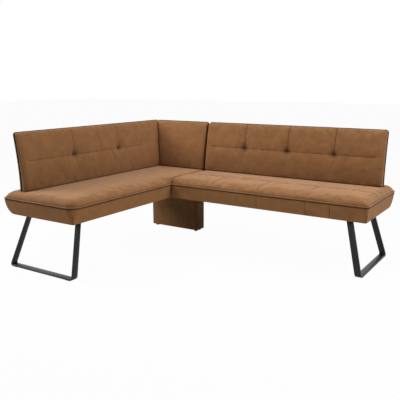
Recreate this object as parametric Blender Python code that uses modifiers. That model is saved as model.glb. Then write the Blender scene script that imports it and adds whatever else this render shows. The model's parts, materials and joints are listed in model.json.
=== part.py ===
# Upholstered corner bench in two units that meet at the inner corner.
# The short unit runs front to back through the corner and carries the short back and the
# corner back. The long unit butts against it. Each unit is a timber frame with elastic webbing,
# a fabric border with a rounded rear edge, a crowned seat pad, a welt between the two, and a
# bent flat-bar leg frame under its free end. A covered box stands under the shared corner.
#
# Units are metres, +Z is up. Each unit is drawn in its own plan: u runs along the wing,
# v runs from the front edge to the rear, and the inner corner of the two front edges is the
# start of both. The short unit is that plan turned a quarter turn.

import math

import bmesh
import bpy
from mathutils import Matrix, Vector

# Clearances
GAP = 0.0003             # between pieces that touch
RAIL_GAP = 0.0015        # between the timber frame and the border around it
HOLE_GAP = 0.0004        # round a bracket in its slot


# Seat plan
SHORT_WING = 0.986       # inner corner to the free end of the short unit, at the underside
LONG_WING = 1.445        # inner corner to the free end of the long unit, at the underside
DEPTH_TO_BACK = 0.443    # front edge of the seat to the front of the back, at the seat
REAR_LEDGE = 0.105       # rear of the back, at the seat, to the rear welt
WELT_OVERHANG = 0.012    # how far the welt stands out past the underside
SHORT_CORNER = 0.070     # plan radius of the short unit's free front corner, at the welt
LONG_CORNER = 0.024      # plan radius of the long unit's free front corner, at the welt
JOINT_CORNER = 0.009     # plan radius of the seat corners that meet the other unit
TIP_CORNER = 0.010       # plan radius of the free rear corners, at the welt
FOOT_CORNER = 0.012      # plan radius of the seat corners at the underside

# Heights, each counted from the one before
UNDERSIDE = 0.355        # above the floor
BORDER_HEIGHT = 0.101    # underside to the middle of the welt
PAD_RISE = 0.046         # welt to the seat
BACK_RISE = 0.376        # seat to the top of the backs

# Seat border, welt and pad
BORDER_WALL = 0.008
BORDER_TUCK = 0.003      # top of the border inside the welt's outer line
BORDER_LIP = 0.004       # upright strip along the top of the border
BORDER_HEM = 0.016       # turned in under the seat
REAR_ARC = 0.075         # how far the rounded rear edge draws in at the underside
WELT_RADIUS = 0.004
FRONT_ROLL = 0.065       # width of the pad's rounded front
END_ROLL = 0.050
REAR_ROLL = 0.062
JOINT_ROLL = 0.012       # where the two seat pads press together
PAD_CROWN = 0.005        # middle of the seat above SEAT_HEIGHT
CROWN_FADE = 0.200       # stretch over which the crown ends at a back
SEAM_DEPTH = 0.0045
BACK_SEAM_DEPTH = 0.0028
SEAM_HALF_WIDTH = 0.011
SEAT_SEAM = 0.220        # front edge to the seam along the long seat

# Timber frame, webbing and dust cover
RAIL_THICK = 0.022
BLOCK_BITE = 0.004       # how far glued blocks and ribs run into the rail that carries them
FLAT_RAIL_WIDTH = 0.070
CORNER_BLOCK = 0.060
SHORT_CROSS_RAIL = 0.390 # inner corner to the short seat's middle cross rail
RIB_THICK = 0.018
WEBBING_THICK = 0.0022
WEBBING_WIDTH = 0.060
WEBBING_PITCH = 0.190    # wanted distance between bands that run front to rear
WEBBING_LENGTHWISE_COUNT = 2
WEBBING_SEAT = 0.016     # webbing that lies on each rail
DUST_COVER = 0.0012
DUST_COVER_INSET = 0.005

# Backs
BACK_LEAN = 0.0645       # how far the top of the back leans away
LEAN_POWER = 1.5         # nearly upright at the seat, most lean at the top
BACK_FOOT = 0.062        # thickness at the seat
BACK_HEAD = 0.038        # thickness at the top
BACK_COVER = 0.008
BACK_BOARD = 0.012
BACK_WELT_RADIUS = 0.0035
BACK_CORNER = 0.022      # radius of the top corners
BACK_ROLL = 0.030        # width of the pad's rounded edges
BACK_SIDE_SHARE = 0.55   # flat part of the pad's side, as a share of its thickness
BACK_FOOT_SIDE = 0.010   # part of the foot's roll that stays below the seat
BACK_SEAM_RISE = 0.190   # seat to the seam along the back
LONG_BACK_INSET = 0.037  # free end of the long back inside the seat's end
SHORT_BACK_INSET = 0.037
BACK_TO_BACK = 0.006     # between the corner back and the long back
CORNER_CLEAR = 0.0015    # between the corner back and the front of the short back
CORNER_RUN = 0.200       # stretch of a back that follows its neighbour's lean
LONG_TUFT_COUNT = 3
SHORT_TUFT_COUNT = 2
TUFT_DEPTH = 0.013
TUFT_REACH = 0.034

# Steel brackets that carry the backs
BRACKET_WIDTH = 0.040
BRACKET_THICK = 0.005
BRACKET_RISE = 0.140     # above the seat
BRACKET_DROP = 0.120     # below the seat
BRACKET_INSET = 0.180    # bracket's middle from the end of its back
CORNER_BRACKET_INSET = 0.124

# Leg frames
BAR_WIDTH = 0.042
BAR_THICK = 0.010
TOP_BAR = 0.006
BAR_BEND = 0.022         # outer radius of the two bends at the floor
SHORT_LEG_INSET = 0.131  # seat end to the frame's middle, at the underside
LONG_LEG_INSET = 0.125
SHORT_LEG_FRONT = 0.088  # front edge to the front upright, at the underside
LONG_LEG_FRONT = 0.072
LEG_SPAN = 0.433         # front upright to rear upright, at the underside
LEG_SPREAD = 0.168       # each upright leans this far per metre of height, in its frame
SHORT_SPLAY = 0.347      # the frame leans outwards this far per metre of height
LONG_SPLAY = 0.272
GLIDE_THICK = 0.0025
GLIDE_LENGTH = 0.034
GLIDE_MARGIN = 0.004

# Covered box under the corner
BLOCK_INSET = 0.019      # short seat's front edge to the box
BLOCK_WIDTH = 0.447      # along the short seat's depth
BLOCK_DEPTH = 0.107
BLOCK_FOOT = 0.012       # underside of the box above the floor
BLOCK_COVER = 0.004
BLOCK_CORNER = 0.006
BLOCK_HEM = 0.012
PANEL_THICK = 0.016
GLIDER_RADIUS = 0.014
GLIDER_ROUND = 0.003
GLIDER_INSET = 0.030

# Plates that join the two units under the seats
PLATE_LENGTH = 0.110
PLATE_WIDTH = 0.032
PLATE_THICK = 0.004
PLATE_PLACES = (0.110, 0.290)

# Fineness of the rounded shapes
CORNER_STEPS = 3
CORNER_PITCH = 0.006     # wanted radius per stretch in a rounded plan corner
BACK_CORNER_STEPS = 6
ARC_STEPS = 6
ROUND_STEPS = 8
SEAT_PITCH = 0.15        # longest plain stretch of each kind of surface
BACK_PITCH = 0.14
BACK_RISE_PITCH = 0.07
BACK_STEPS = 7           # straight stretches that make up a back's curved side view

# Values that follow from the sizes above
WELT_HEIGHT = UNDERSIDE + BORDER_HEIGHT
SEAT_HEIGHT = WELT_HEIGHT + PAD_RISE
BACK_HEIGHT = SEAT_HEIGHT + BACK_RISE
SEAT_DEPTH = DEPTH_TO_BACK + BACK_FOOT + REAR_LEDGE
JOINT = WELT_OVERHANG + GAP
DECK = WELT_HEIGHT - WELT_RADIUS
PAD_EDGE = WELT_HEIGHT + WELT_RADIUS + GAP
PAD_INSET = 2 * WELT_RADIUS + GAP
BORDER_TOP = DECK - GAP
BORDER_DROP = BORDER_TOP - UNDERSIDE
RAIL_UNDER = UNDERSIDE + BORDER_WALL + GAP
RAIL_TOP = DECK - WEBBING_THICK - 2 * GAP
RAIL_FACE = BORDER_WALL + RAIL_GAP
BOARD_REAR = DEPTH_TO_BACK + BACK_FOOT - BACK_COVER
REAR_RAIL_OUT = BOARD_REAR - BRACKET_THICK - 2 * GAP
REAR_RAIL_IN = REAR_RAIL_OUT - RAIL_THICK
FRONT_RAIL_IN = RAIL_FACE + RAIL_THICK
ARC_START = SEAT_DEPTH - REAR_ARC
COVER_TOP = UNDERSIDE - GAP
COVER_UNDER = COVER_TOP - DUST_COVER
LEG_TOP = COVER_UNDER - GAP
RUNNER_UNDER = GLIDE_THICK + GAP
CORNER_RAIL = (REAR_RAIL_IN + REAR_RAIL_OUT) / 2
BLOCK_RAIL = CORNER_RAIL - RAIL_THICK / 2 - GAP - FLAT_RAIL_WIDTH / 2
BOX_MIDDLE = (
    (LONG_WING + WELT_OVERHANG - SEAT_DEPTH) / 2,
    (SEAT_DEPTH - SHORT_WING - WELT_OVERHANG) / 2,
)


# Scene, materials and units

def clear_scene():
    for thing in list(bpy.data.objects):
        bpy.data.objects.remove(thing, do_unlink=True)


def make_collection(name):
    group = bpy.data.collections.new(name)
    bpy.context.scene.collection.children.link(group)
    return group


def make_material(name, colour, roughness, metallic=0.0):
    material = bpy.data.materials.new(name)
    material.use_nodes = True
    shader = material.node_tree.nodes["Principled BSDF"]
    shader.inputs["Base Color"].default_value = (*colour, 1.0)
    shader.inputs["Roughness"].default_value = roughness
    shader.inputs["Metallic"].default_value = metallic
    material.diffuse_color = (*colour, 1.0)
    return material


def make_unit(name, turn):
    """An empty that carries one unit's plan, with the object's box centred on the origin."""
    unit = bpy.data.objects.new(name, None)
    unit.location = (-BOX_MIDDLE[0], -BOX_MIDDLE[1], 0.0)
    unit.rotation_euler = (0.0, 0.0, turn)
    PIECES.objects.link(unit)
    return unit


def add_piece(name, shape, material, unit, smooth=False):
    """Turn a bmesh into a named sub-part, parented to its unit."""
    mesh = bpy.data.meshes.new(name)
    shape.to_mesh(mesh)
    shape.free()
    if smooth:
        mesh.shade_smooth()
        mesh.set_sharp_from_angle(angle=math.radians(40))
    piece = bpy.data.objects.new(name, mesh)
    piece.data.materials.append(material)
    piece.parent = unit
    PIECES.objects.link(piece)
    return piece


def add_cutter(name, shape, unit):
    mesh = bpy.data.meshes.new(name)
    shape.to_mesh(mesh)
    shape.free()
    cutter = bpy.data.objects.new(name, mesh)
    cutter.parent = unit
    cutter.hide_render = True
    cutter.display_type = "WIRE"
    CUTTERS.objects.link(cutter)
    return cutter


def cut(pieces, cutter):
    for piece in pieces:
        hole = piece.modifiers.new("cut " + cutter.name, "BOOLEAN")
        hole.operation = "DIFFERENCE"
        hole.solver = "EXACT"
        hole.object = cutter


def glue(piece, block):
    """Join a block to the piece that carries it, as a glued joint."""
    joint = piece.modifiers.new("glue " + block.name, "BOOLEAN")
    joint.operation = "UNION"
    joint.solver = "EXACT"
    joint.object = block


def add_tube(name, paths, radius, material, unit, closed=False, resolution=1):
    """A round cord or wire along each path, as one curve object."""
    curve = bpy.data.curves.new(name, "CURVE")
    curve.dimensions = "3D"
    curve.bevel_depth = radius
    curve.bevel_resolution = resolution
    curve.use_fill_caps = True
    for path in paths:
        spline = curve.splines.new("POLY")
        spline.points.add(len(path) - 1)
        for point, place in zip(spline.points, path):
            point.co = (*place, 1.0)
        spline.use_cyclic_u = closed
    tube = bpy.data.objects.new(name, curve)
    curve.materials.append(material)
    tube.parent = unit
    PIECES.objects.link(tube)
    return tube


# Basic solids

def add_box(shape, u_range, v_range, z_range):
    middle = Vector((sum(u_range), sum(v_range), sum(z_range))) / 2
    size = (u_range[1] - u_range[0], v_range[1] - v_range[0], z_range[1] - z_range[0], 1.0)
    place = Matrix.Translation(middle) @ Matrix.Diagonal(size)
    return bmesh.ops.create_cube(shape, size=1.0, matrix=place)["verts"]


def add_prism(shape, outline, lift):
    """Close an outline and lift it along the vector to make a prism."""
    corners = [shape.verts.new(place) for place in outline]
    face = shape.faces.new(corners)
    lifted = bmesh.ops.extrude_face_region(shape, geom=[face])["geom"]
    moved = [item for item in lifted if isinstance(item, bmesh.types.BMVert)]
    bmesh.ops.translate(shape, verts=moved, vec=lift)


def add_turned(shape, profile, place):
    """Spin a profile of (radius, height) points once round the axis of the place matrix."""
    points = [shape.verts.new((radius, 0.0, height)) for radius, height in profile]
    edges = [shape.edges.new(pair) for pair in zip(points, points[1:])]
    bmesh.ops.spin(
        shape, geom=points + edges, cent=(0, 0, 0), axis=(0, 0, 1), dvec=(0, 0, 0),
        angle=2 * math.pi, steps=ROUND_STEPS, use_merge=True, use_duplicate=False)
    bmesh.ops.remove_doubles(shape, verts=shape.verts, dist=0.00001)
    bmesh.ops.transform(shape, matrix=place, verts=shape.verts)


def add_rings(shape, loops):
    """Open surface from ring to ring, each ring extruded from the one before."""
    order = shape.verts.layers.int.new("order")
    first = [shape.verts.new(place) for place in loops[0]]
    for number, vert in enumerate(first):
        vert[order] = number
    ring = [shape.edges.new((a, b)) for a, b in zip(first, first[1:] + first[:1])]
    for loop in loops[1:]:
        moved = bmesh.ops.extrude_edge_only(shape, edges=ring)["geom"]
        for vert in moved:
            if isinstance(vert, bmesh.types.BMVert):
                vert.co = loop[vert[order]]
        ring = [edge for edge in moved if isinstance(edge, bmesh.types.BMEdge)
                and all(vert in moved for vert in edge.verts)]


def close_normals(shape):
    bmesh.ops.recalc_face_normals(shape, faces=shape.faces)
    return shape


def outward_shell(shape, name, thick, material, unit):
    """Turn an open surface's faces outwards and give it a wall towards the inside."""
    bmesh.ops.recalc_face_normals(shape, faces=shape.faces)
    front = min(shape.faces, key=lambda face: face.calc_center_median().y)
    if front.normal.y > 0:
        bmesh.ops.reverse_faces(shape, faces=shape.faces)
    shell = add_piece(name, shape, material, unit, smooth=True)
    wall = shell.modifiers.new("wall", "SOLIDIFY")
    wall.thickness = thick
    wall.offset = -1.0
    wall.use_even_offset = True
    return shell


def corner_steps(radii):
    """Straight stretches in each rounded corner, more in a wide one."""
    return [max(CORNER_STEPS, math.ceil(radius / CORNER_PITCH)) for radius in radii]


def rounded_loop(u_range, v_range, radii, height, steps):
    """Points of a rounded rectangle, anticlockwise from the front left corner."""
    u0, u1 = u_range
    v0, v1 = v_range
    front_left, front_right, rear_right, rear_left = radii
    corners = (
        (u0 + front_left, v0 + front_left, front_left, math.pi),
        (u1 - front_right, v0 + front_right, front_right, 1.5 * math.pi),
        (u1 - rear_right, v1 - rear_right, rear_right, 0.0),
        (u0 + rear_left, v1 - rear_left, rear_left, 0.5 * math.pi),
    )
    points = []
    for (u, v, radius, start), count in zip(corners, steps):
        for step in range(count + 1):
            angle = start + 0.5 * math.pi * step / count
            points.append((u + radius * math.cos(angle), v + radius * math.sin(angle), height))
    return points


def round_off(across, up, radius):
    """Move a point of a square corner zone into the quarter disc that replaces it."""
    a = max(0.0, across) / radius
    b = max(0.0, up) / radius
    return (
        radius * a * math.sqrt(1 - b * b / 2) if across > 0 else across,
        radius * b * math.sqrt(1 - a * a / 2) if up > 0 else up,
    )


def round_plan(u, v, u_range, v_range, radii):
    """Round the four corners of a plan that is drawn on straight stations."""
    middle_u = sum(u_range) / 2
    middle_v = sum(v_range) / 2
    at_rear = v > middle_v
    at_right = u > middle_u
    radius = radii[(3, 2)[at_right]] if at_rear else radii[(0, 1)[at_right]]
    side_u = 1 if at_right else -1
    side_v = 1 if at_rear else -1
    start_u = (u_range[1] if at_right else u_range[0]) - side_u * radius
    start_v = (v_range[1] if at_rear else v_range[0]) - side_v * radius
    across = side_u * (u - start_u)
    up = side_v * (v - start_v)
    if across <= 0 or up <= 0:
        return u, v
    across, up = round_off(across, up, radius)
    return start_u + side_u * across, start_v + side_v * up


def rise(distance, width):
    """Quarter-round rise of a stuffed edge: 0 at the seam, 1 past the width."""
    share = min(1.0, max(0.0, distance / width))
    return math.sqrt(1 - (1 - share) ** 2)


def groove(distance, half_width):
    """Share of a seam's depth at a distance from its line."""
    return max(0.0, 1 - abs(distance) / (2 * half_width)) ** 2


def stations(start, end, marks, longest):
    """Sorted stations between two ends, with no stretch longer than asked."""
    kept = [start]
    for mark in sorted(marks) + [end]:
        if mark - kept[-1] < 0.002:
            continue
        parts = max(1, math.ceil((mark - kept[-1]) / longest))
        first = kept[-1]
        kept += [first + (mark - first) * part / parts for part in range(1, parts + 1)]
    kept[-1] = end
    return kept


def edge_marks(start, end, first_roll, last_roll):
    shares = (0.08, 0.28, 0.58, 1.0)
    return [start + first_roll * share for share in shares] + [
        end - last_roll * share for share in shares]


def grid_solid(across, up, front, rear, full_rear):
    """Solid between a front and a rear surface that are drawn on stations.

    A full rear repeats every station. Otherwise one flat face closes the rim.
    """
    shape = bmesh.new()
    column = shape.verts.layers.int.new("column")
    row = shape.verts.layers.int.new("row")
    bmesh.ops.create_grid(
        shape, x_segments=len(across) - 1, y_segments=len(up) - 1, size=1.0)
    for vert in shape.verts:
        vert[column] = round((vert.co.x + 1) / 2 * (len(across) - 1))
        vert[row] = round((vert.co.y + 1) / 2 * (len(up) - 1))
    for vert in shape.verts:
        vert.co = front(across[vert[column]], up[vert[row]])
    if full_rear:
        moved = bmesh.ops.extrude_face_region(shape, geom=list(shape.faces))["geom"]
    else:
        rim = [edge for edge in shape.edges if edge.is_boundary]
        moved = bmesh.ops.extrude_edge_only(shape, edges=rim)["geom"]
    for vert in moved:
        if isinstance(vert, bmesh.types.BMVert):
            vert.co = rear(across[vert[column]], up[vert[row]])
    if not full_rear:
        last = [edge for edge in shape.edges if edge.is_boundary]
        bmesh.ops.edgeloop_fill(shape, edges=last)
    return close_normals(shape)


# Seat pieces

class Seat:
    """Plan of one seat, from its sizes along the wing."""

    def __init__(self, name, unit, start, end, radii, start_hang, end_hang):
        self.name = name
        self.unit = unit
        self.u = (start, end)
        self.v = (-WELT_OVERHANG, SEAT_DEPTH)
        self.radii = radii
        self.hangs = (start_hang, end_hang)
        self.foot = (start + start_hang, end - end_hang)
        self.frame = (start + max(start_hang, BORDER_TUCK) + RAIL_FACE,
                      end - max(end_hang, BORDER_TUCK) - RAIL_FACE)

    def inset(self, amount):
        return (
            (self.u[0] + amount, self.u[1] - amount),
            (self.v[0] + amount, self.v[1] - amount),
            [max(radius - amount, WELT_RADIUS / 4) for radius in self.radii],
        )


def seat_border(seat):
    """Fabric border: slanted front and ends, rounded rear edge, hem turned in below."""
    shape = bmesh.new()
    steps = corner_steps(seat.radii)
    loops = []
    for step in range(ARC_STEPS + 1):
        angle = 0.5 * math.pi * step / ARC_STEPS
        share = math.sin(angle)
        height = BORDER_TOP - BORDER_LIP - (BORDER_DROP - BORDER_LIP) * share
        slant = BORDER_TUCK + (WELT_OVERHANG - BORDER_TUCK) * share
        ends = [BORDER_TUCK + (hang - BORDER_TUCK) * share for hang in seat.hangs]
        rear = SEAT_DEPTH - BORDER_TUCK - (REAR_ARC - BORDER_TUCK) * (1 - math.cos(angle))
        radii = [radius - BORDER_TUCK + (FOOT_CORNER - radius + BORDER_TUCK) * share
                 for radius in seat.radii]
        loops.append(rounded_loop(
            (seat.u[0] + ends[0], seat.u[1] - ends[1]), (seat.v[0] + slant, rear),
            radii, height, steps))
    loops.insert(0, [(u, v, BORDER_TOP) for u, v, _ in loops[0]])
    hem = [FOOT_CORNER / 2] * 4
    loops.append(rounded_loop(
        (seat.foot[0] + BORDER_HEM, seat.foot[1] - BORDER_HEM),
        (BORDER_HEM, ARC_START - BORDER_HEM), hem, UNDERSIDE, steps))
    add_rings(shape, loops)
    return outward_shell(shape, seat.name + "_seat_border", BORDER_WALL, FABRIC, seat.unit)


def seat_welt(seat):
    u_range, v_range, radii = seat.inset(WELT_RADIUS)
    path = rounded_loop(u_range, v_range, radii, WELT_HEIGHT, corner_steps(seat.radii))
    return add_tube(seat.name + "_seat_welt", [path], WELT_RADIUS, FABRIC, seat.unit, closed=True)


def seat_pad(seat, end_rolls, front_roll, seams, crown_end, joint_marks):
    """Crowned pad with rolled edges and, where the seat has them, sewn seams.

    The crown fades out before crown_end, where a back stands across the seat. The joint
    marks are where the front roll narrows towards the other pad.
    """
    u_range, v_range, radii = seat.inset(PAD_INSET)
    seam_marks = [seam + side * SEAM_HALF_WIDTH * reach
                  for seam in seams for side in (-1, 1) for reach in (0, 1, 2)]
    across = stations(
        *u_range, edge_marks(*u_range, *end_rolls) + seam_marks + joint_marks
        + [crown_end, crown_end - CROWN_FADE], SEAT_PITCH)
    long_seam = [SEAT_SEAM + side * SEAM_HALF_WIDTH * reach
                 for side in (-1, 1) for reach in (0, 1, 2)] if seams else []
    marks = edge_marks(*v_range, FRONT_ROLL, REAR_ROLL)
    up = stations(*v_range, marks + long_seam + [DEPTH_TO_BACK], SEAT_PITCH)

    def top(u, v):
        level = rise(u - u_range[0], end_rolls[0]) * rise(u_range[1] - u, end_rolls[1])
        level *= rise(v - v_range[0], front_roll(u)) * rise(v_range[1] - v, REAR_ROLL)
        height = PAD_EDGE + (SEAT_HEIGHT - PAD_EDGE) * level
        in_seat = min(1.0, max(0.0, v / DEPTH_TO_BACK))
        fade = min(1.0, max(0.0, (crown_end - u) / CROWN_FADE))
        height += PAD_CROWN * math.sin(math.pi * in_seat) * fade * level ** 2
        if seams:
            sewn = groove(v - SEAT_SEAM, SEAM_HALF_WIDTH)
            if v < DEPTH_TO_BACK:
                sewn = max([sewn] + [groove(u - seam, SEAM_HALF_WIDTH) for seam in seams])
            height -= SEAM_DEPTH * sewn * level ** 2
        return (*round_plan(u, v, u_range, v_range, radii), height)

    def base(u, v):
        return (*round_plan(u, v, u_range, v_range, radii), DECK)

    shape = grid_solid(across, up, top, base, full_rear=False)
    return add_piece(seat.name + "_seat_pad", shape, FABRIC, seat.unit, smooth=True)


def rail(seat, part, u_range, v_range, heights):
    shape = bmesh.new()
    add_box(shape, u_range, v_range, heights)
    return add_piece(seat.name + part, shape, TIMBER, seat.unit)


def corner_blocks(seat, face, to_middle, between):
    """Triangular blocks in the two corners that one end rail makes with the long rails."""
    shape = bmesh.new()
    under = RAIL_UNDER + RAIL_THICK + GAP
    root = face - to_middle * BLOCK_BITE
    tip = face + to_middle * CORNER_BLOCK
    for v, side in zip(between, (1, -1)):
        outline = [(root, v, under), (face, v, under), (tip, v, under),
                   (face, v + side * CORNER_BLOCK, under), (root, v + side * CORNER_BLOCK, under)]
        add_prism(shape, outline, (0, 0, RAIL_TOP - GAP - under))
    return close_normals(shape)


def rear_ribs(places):
    """Plywood formers behind the rear rail that give the border its rounded rear edge."""
    root = REAR_RAIL_OUT - BLOCK_BITE
    reach = REAR_ARC - BORDER_TUCK - BORDER_WALL - RAIL_GAP
    drop = BORDER_DROP - BORDER_WALL - RAIL_GAP
    top = RAIL_TOP - GAP
    shape = bmesh.new()
    for middle in places:
        start = middle - RIB_THICK / 2
        outline = [(start, root, RAIL_UNDER), (start, ARC_START - BORDER_HEM, RAIL_UNDER)]
        for step in range(ARC_STEPS + 1):
            angle = 0.5 * math.pi * (1 - step / ARC_STEPS)
            outline.append((start, ARC_START + reach * math.cos(angle),
                            top - (top - BORDER_TOP + drop) * math.sin(angle)))
        outline.append((start, root, top))
        add_prism(shape, outline, (RIB_THICK, 0, 0))
    return close_normals(shape)


def timber_frame(seat, cross_rails, flat_rails, front_short):
    """Front rail, rear rail with its ribs, end rails with corner blocks, rails across on edge
    and flat rails for what is screwed on from below."""
    heights = (RAIL_UNDER, RAIL_TOP)
    start, end = seat.frame
    half = RAIL_THICK / 2
    between = (FRONT_RAIL_IN + GAP, REAR_RAIL_IN - GAP)
    rail(seat, "_front_rail", (start + front_short, end), (RAIL_FACE, FRONT_RAIL_IN), heights)
    rear = rail(seat, "_rear_rail", (start, end), (REAR_RAIL_IN, REAR_RAIL_OUT), heights)
    rib_places = [start + RAIL_THICK] + cross_rails + [end - RAIL_THICK]
    glue(rear, add_cutter(seat.name + "_ribs", rear_ribs(rib_places), seat.unit))
    for side, face, to_middle in (("left", start, 1), ("right", end, -1)):
        inner = face + to_middle * RAIL_THICK
        end_rail = rail(seat, "_" + side + "_end_rail", sorted((face, inner)), between, heights)
        blocks = corner_blocks(seat, inner, to_middle, between)
        glue(end_rail, add_cutter(seat.name + side + "_blocks", blocks, seat.unit))
    for number, middle in enumerate(cross_rails, 1):
        rail(seat, "_cross_rail_%d" % number, (middle - half, middle + half), between, heights)
    half = FLAT_RAIL_WIDTH / 2
    for number, middle in enumerate(flat_rails, 1):
        rail(seat, "_flat_rail_%d" % number, (middle - half, middle + half), between,
             (RAIL_UNDER, RAIL_UNDER + RAIL_THICK))


def seat_webbing(seat):
    """Elastic bands stapled over the rails, front to rear and along the wing, as one net."""
    start = seat.frame[0] + RAIL_THICK - WEBBING_SEAT
    end = seat.frame[1] - RAIL_THICK + WEBBING_SEAT
    front = FRONT_RAIL_IN - WEBBING_SEAT
    rear = REAR_RAIL_IN + WEBBING_SEAT
    counts = (round((end - start) / WEBBING_PITCH), WEBBING_LENGTHWISE_COUNT)
    bands = []
    for first, last, count in ((start, end, counts[0]), (front, rear, counts[1])):
        step = (last - first) / count
        middles = [first + step * (n + 0.5) for n in range(count)]
        edges = [middle + side * WEBBING_WIDTH / 2 for middle in middles for side in (-1, 1)]
        bands.append([first] + edges + [last])
    across, up = bands
    shape = bmesh.new()
    bmesh.ops.create_grid(
        shape, x_segments=len(across) - 1, y_segments=len(up) - 1, size=1.0)
    gaps = []
    for face in shape.faces:
        middle = face.calc_center_median()
        column = math.floor((middle.x + 1) / 2 * (len(across) - 1))
        row = math.floor((middle.y + 1) / 2 * (len(up) - 1))
        if column % 2 == 0 and row % 2 == 0:
            gaps.append(face)
    for vert in shape.verts:
        vert.co = (across[round((vert.co.x + 1) / 2 * (len(across) - 1))],
                   up[round((vert.co.y + 1) / 2 * (len(up) - 1))], RAIL_TOP + GAP)
    bmesh.ops.delete(shape, geom=gaps, context="FACES")
    lifted = bmesh.ops.extrude_face_region(shape, geom=list(shape.faces))["geom"]
    moved = [item for item in lifted if isinstance(item, bmesh.types.BMVert)]
    bmesh.ops.translate(shape, verts=moved, vec=(0, 0, WEBBING_THICK))
    return add_piece(seat.name + "_seat_webbing", close_normals(shape), WEBBING, seat.unit)


def dust_cover(seat):
    shape = bmesh.new()
    add_box(shape, (seat.foot[0] + DUST_COVER_INSET, seat.foot[1] - DUST_COVER_INSET),
            (DUST_COVER_INSET, ARC_START - DUST_COVER_INSET), (COVER_UNDER, COVER_TOP))
    return add_piece(seat.name + "_dust_cover", shape, FELT, seat.unit)


# Back pieces

BACK_LEVELS = [SEAT_HEIGHT + (BACK_HEIGHT - SEAT_HEIGHT) * step / BACK_STEPS
               for step in range(BACK_STEPS + 1)]


def height_share(z):
    return min(1.0, max(0.0, (z - SEAT_HEIGHT) / (BACK_HEIGHT - SEAT_HEIGHT)))


def back_front(z):
    """Front of a back, curved in steps that every piece of the back shares."""
    place = height_share(z) * BACK_STEPS
    step = min(BACK_STEPS - 1, math.floor(place))
    below, above = (BACK_LEAN * (n / BACK_STEPS) ** LEAN_POWER for n in (step, step + 1))
    return DEPTH_TO_BACK + below + (above - below) * (place - step)


def back_rear(z):
    return back_front(z) + BACK_FOOT + (BACK_HEAD - BACK_FOOT) * height_share(z)


def board_rear(z):
    return back_rear(z) - BACK_COVER


def board_front(z):
    return board_rear(z) - BACK_BOARD


class Back:
    """One back: its ends, its tufts, and how its corner end follows its neighbour."""

    def __init__(self, name, unit, start, end, tufts, round_ends, follow_start, follow_end):
        self.name = name
        self.unit = unit
        self.u = (start, end)
        shown = min(end, DEPTH_TO_BACK) if follow_end else end
        self.tufts = [start + (shown - start) * (n + 1) / (tufts + 1) for n in range(tufts)]
        self.round_ends = round_ends
        self.follow_start = follow_start
        self.follow_end = follow_end

    def place(self, u, z, depth, inset):
        """Round the top corners, then shift the corner end with its neighbour's lean."""
        z_top = BACK_HEIGHT - inset
        for side, rounded in zip((-1, 1), self.round_ends):
            radius = BACK_CORNER - inset
            edge = self.u[0] + inset if side < 0 else self.u[1] - inset
            across = side * (u - edge) + radius
            up = z - z_top + radius
            if rounded and across > 0 and up > 0:
                across, up = round_off(across, up, radius)
                u = edge + side * (across - radius)
                z = z_top - radius + up
        shift = 0.0
        if self.follow_start:
            near = max(0.0, 1 - (u - self.u[0]) / CORNER_RUN)
            shift -= near * (back_front(z) - DEPTH_TO_BACK)
        if self.follow_end:
            near = max(0.0, 1 - (self.u[1] - u) / CORNER_RUN)
            shift += near * (back_rear(z) - DEPTH_TO_BACK - BACK_FOOT)
        return (u + shift, depth(z), z)

    def stations(self, inset, marks_u, marks_z, longest):
        foot = SEAT_HEIGHT + GAP
        around = [self.u[0] + BACK_CORNER, self.u[1] - BACK_CORNER,
                  self.u[0] + BACK_CORNER / 2, self.u[1] - BACK_CORNER / 2]
        ends = [self.u[0] + CORNER_RUN] * self.follow_start
        ends += [self.u[1] - CORNER_RUN] * self.follow_end
        across = stations(self.u[0] + inset, self.u[1] - inset,
                          around + ends + marks_u, longest)
        up = stations(foot, BACK_HEIGHT - inset,
                      [BACK_HEIGHT - BACK_CORNER, BACK_HEIGHT - BACK_CORNER / 2]
                      + BACK_LEVELS[1:-1] + marks_z, BACK_RISE_PITCH)
        return across, up


def back_slab(back, part, depths, inset, material):
    """A bent board or cover between two depths."""
    across, up = back.stations(inset, [], [], back.u[1] - back.u[0])
    shape = grid_solid(
        across, up,
        lambda u, z: back.place(u, z, depths[0], inset),
        lambda u, z: back.place(u, z, depths[1], inset), full_rear=True)
    return add_piece(back.name + part, shape, material, back.unit)


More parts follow.
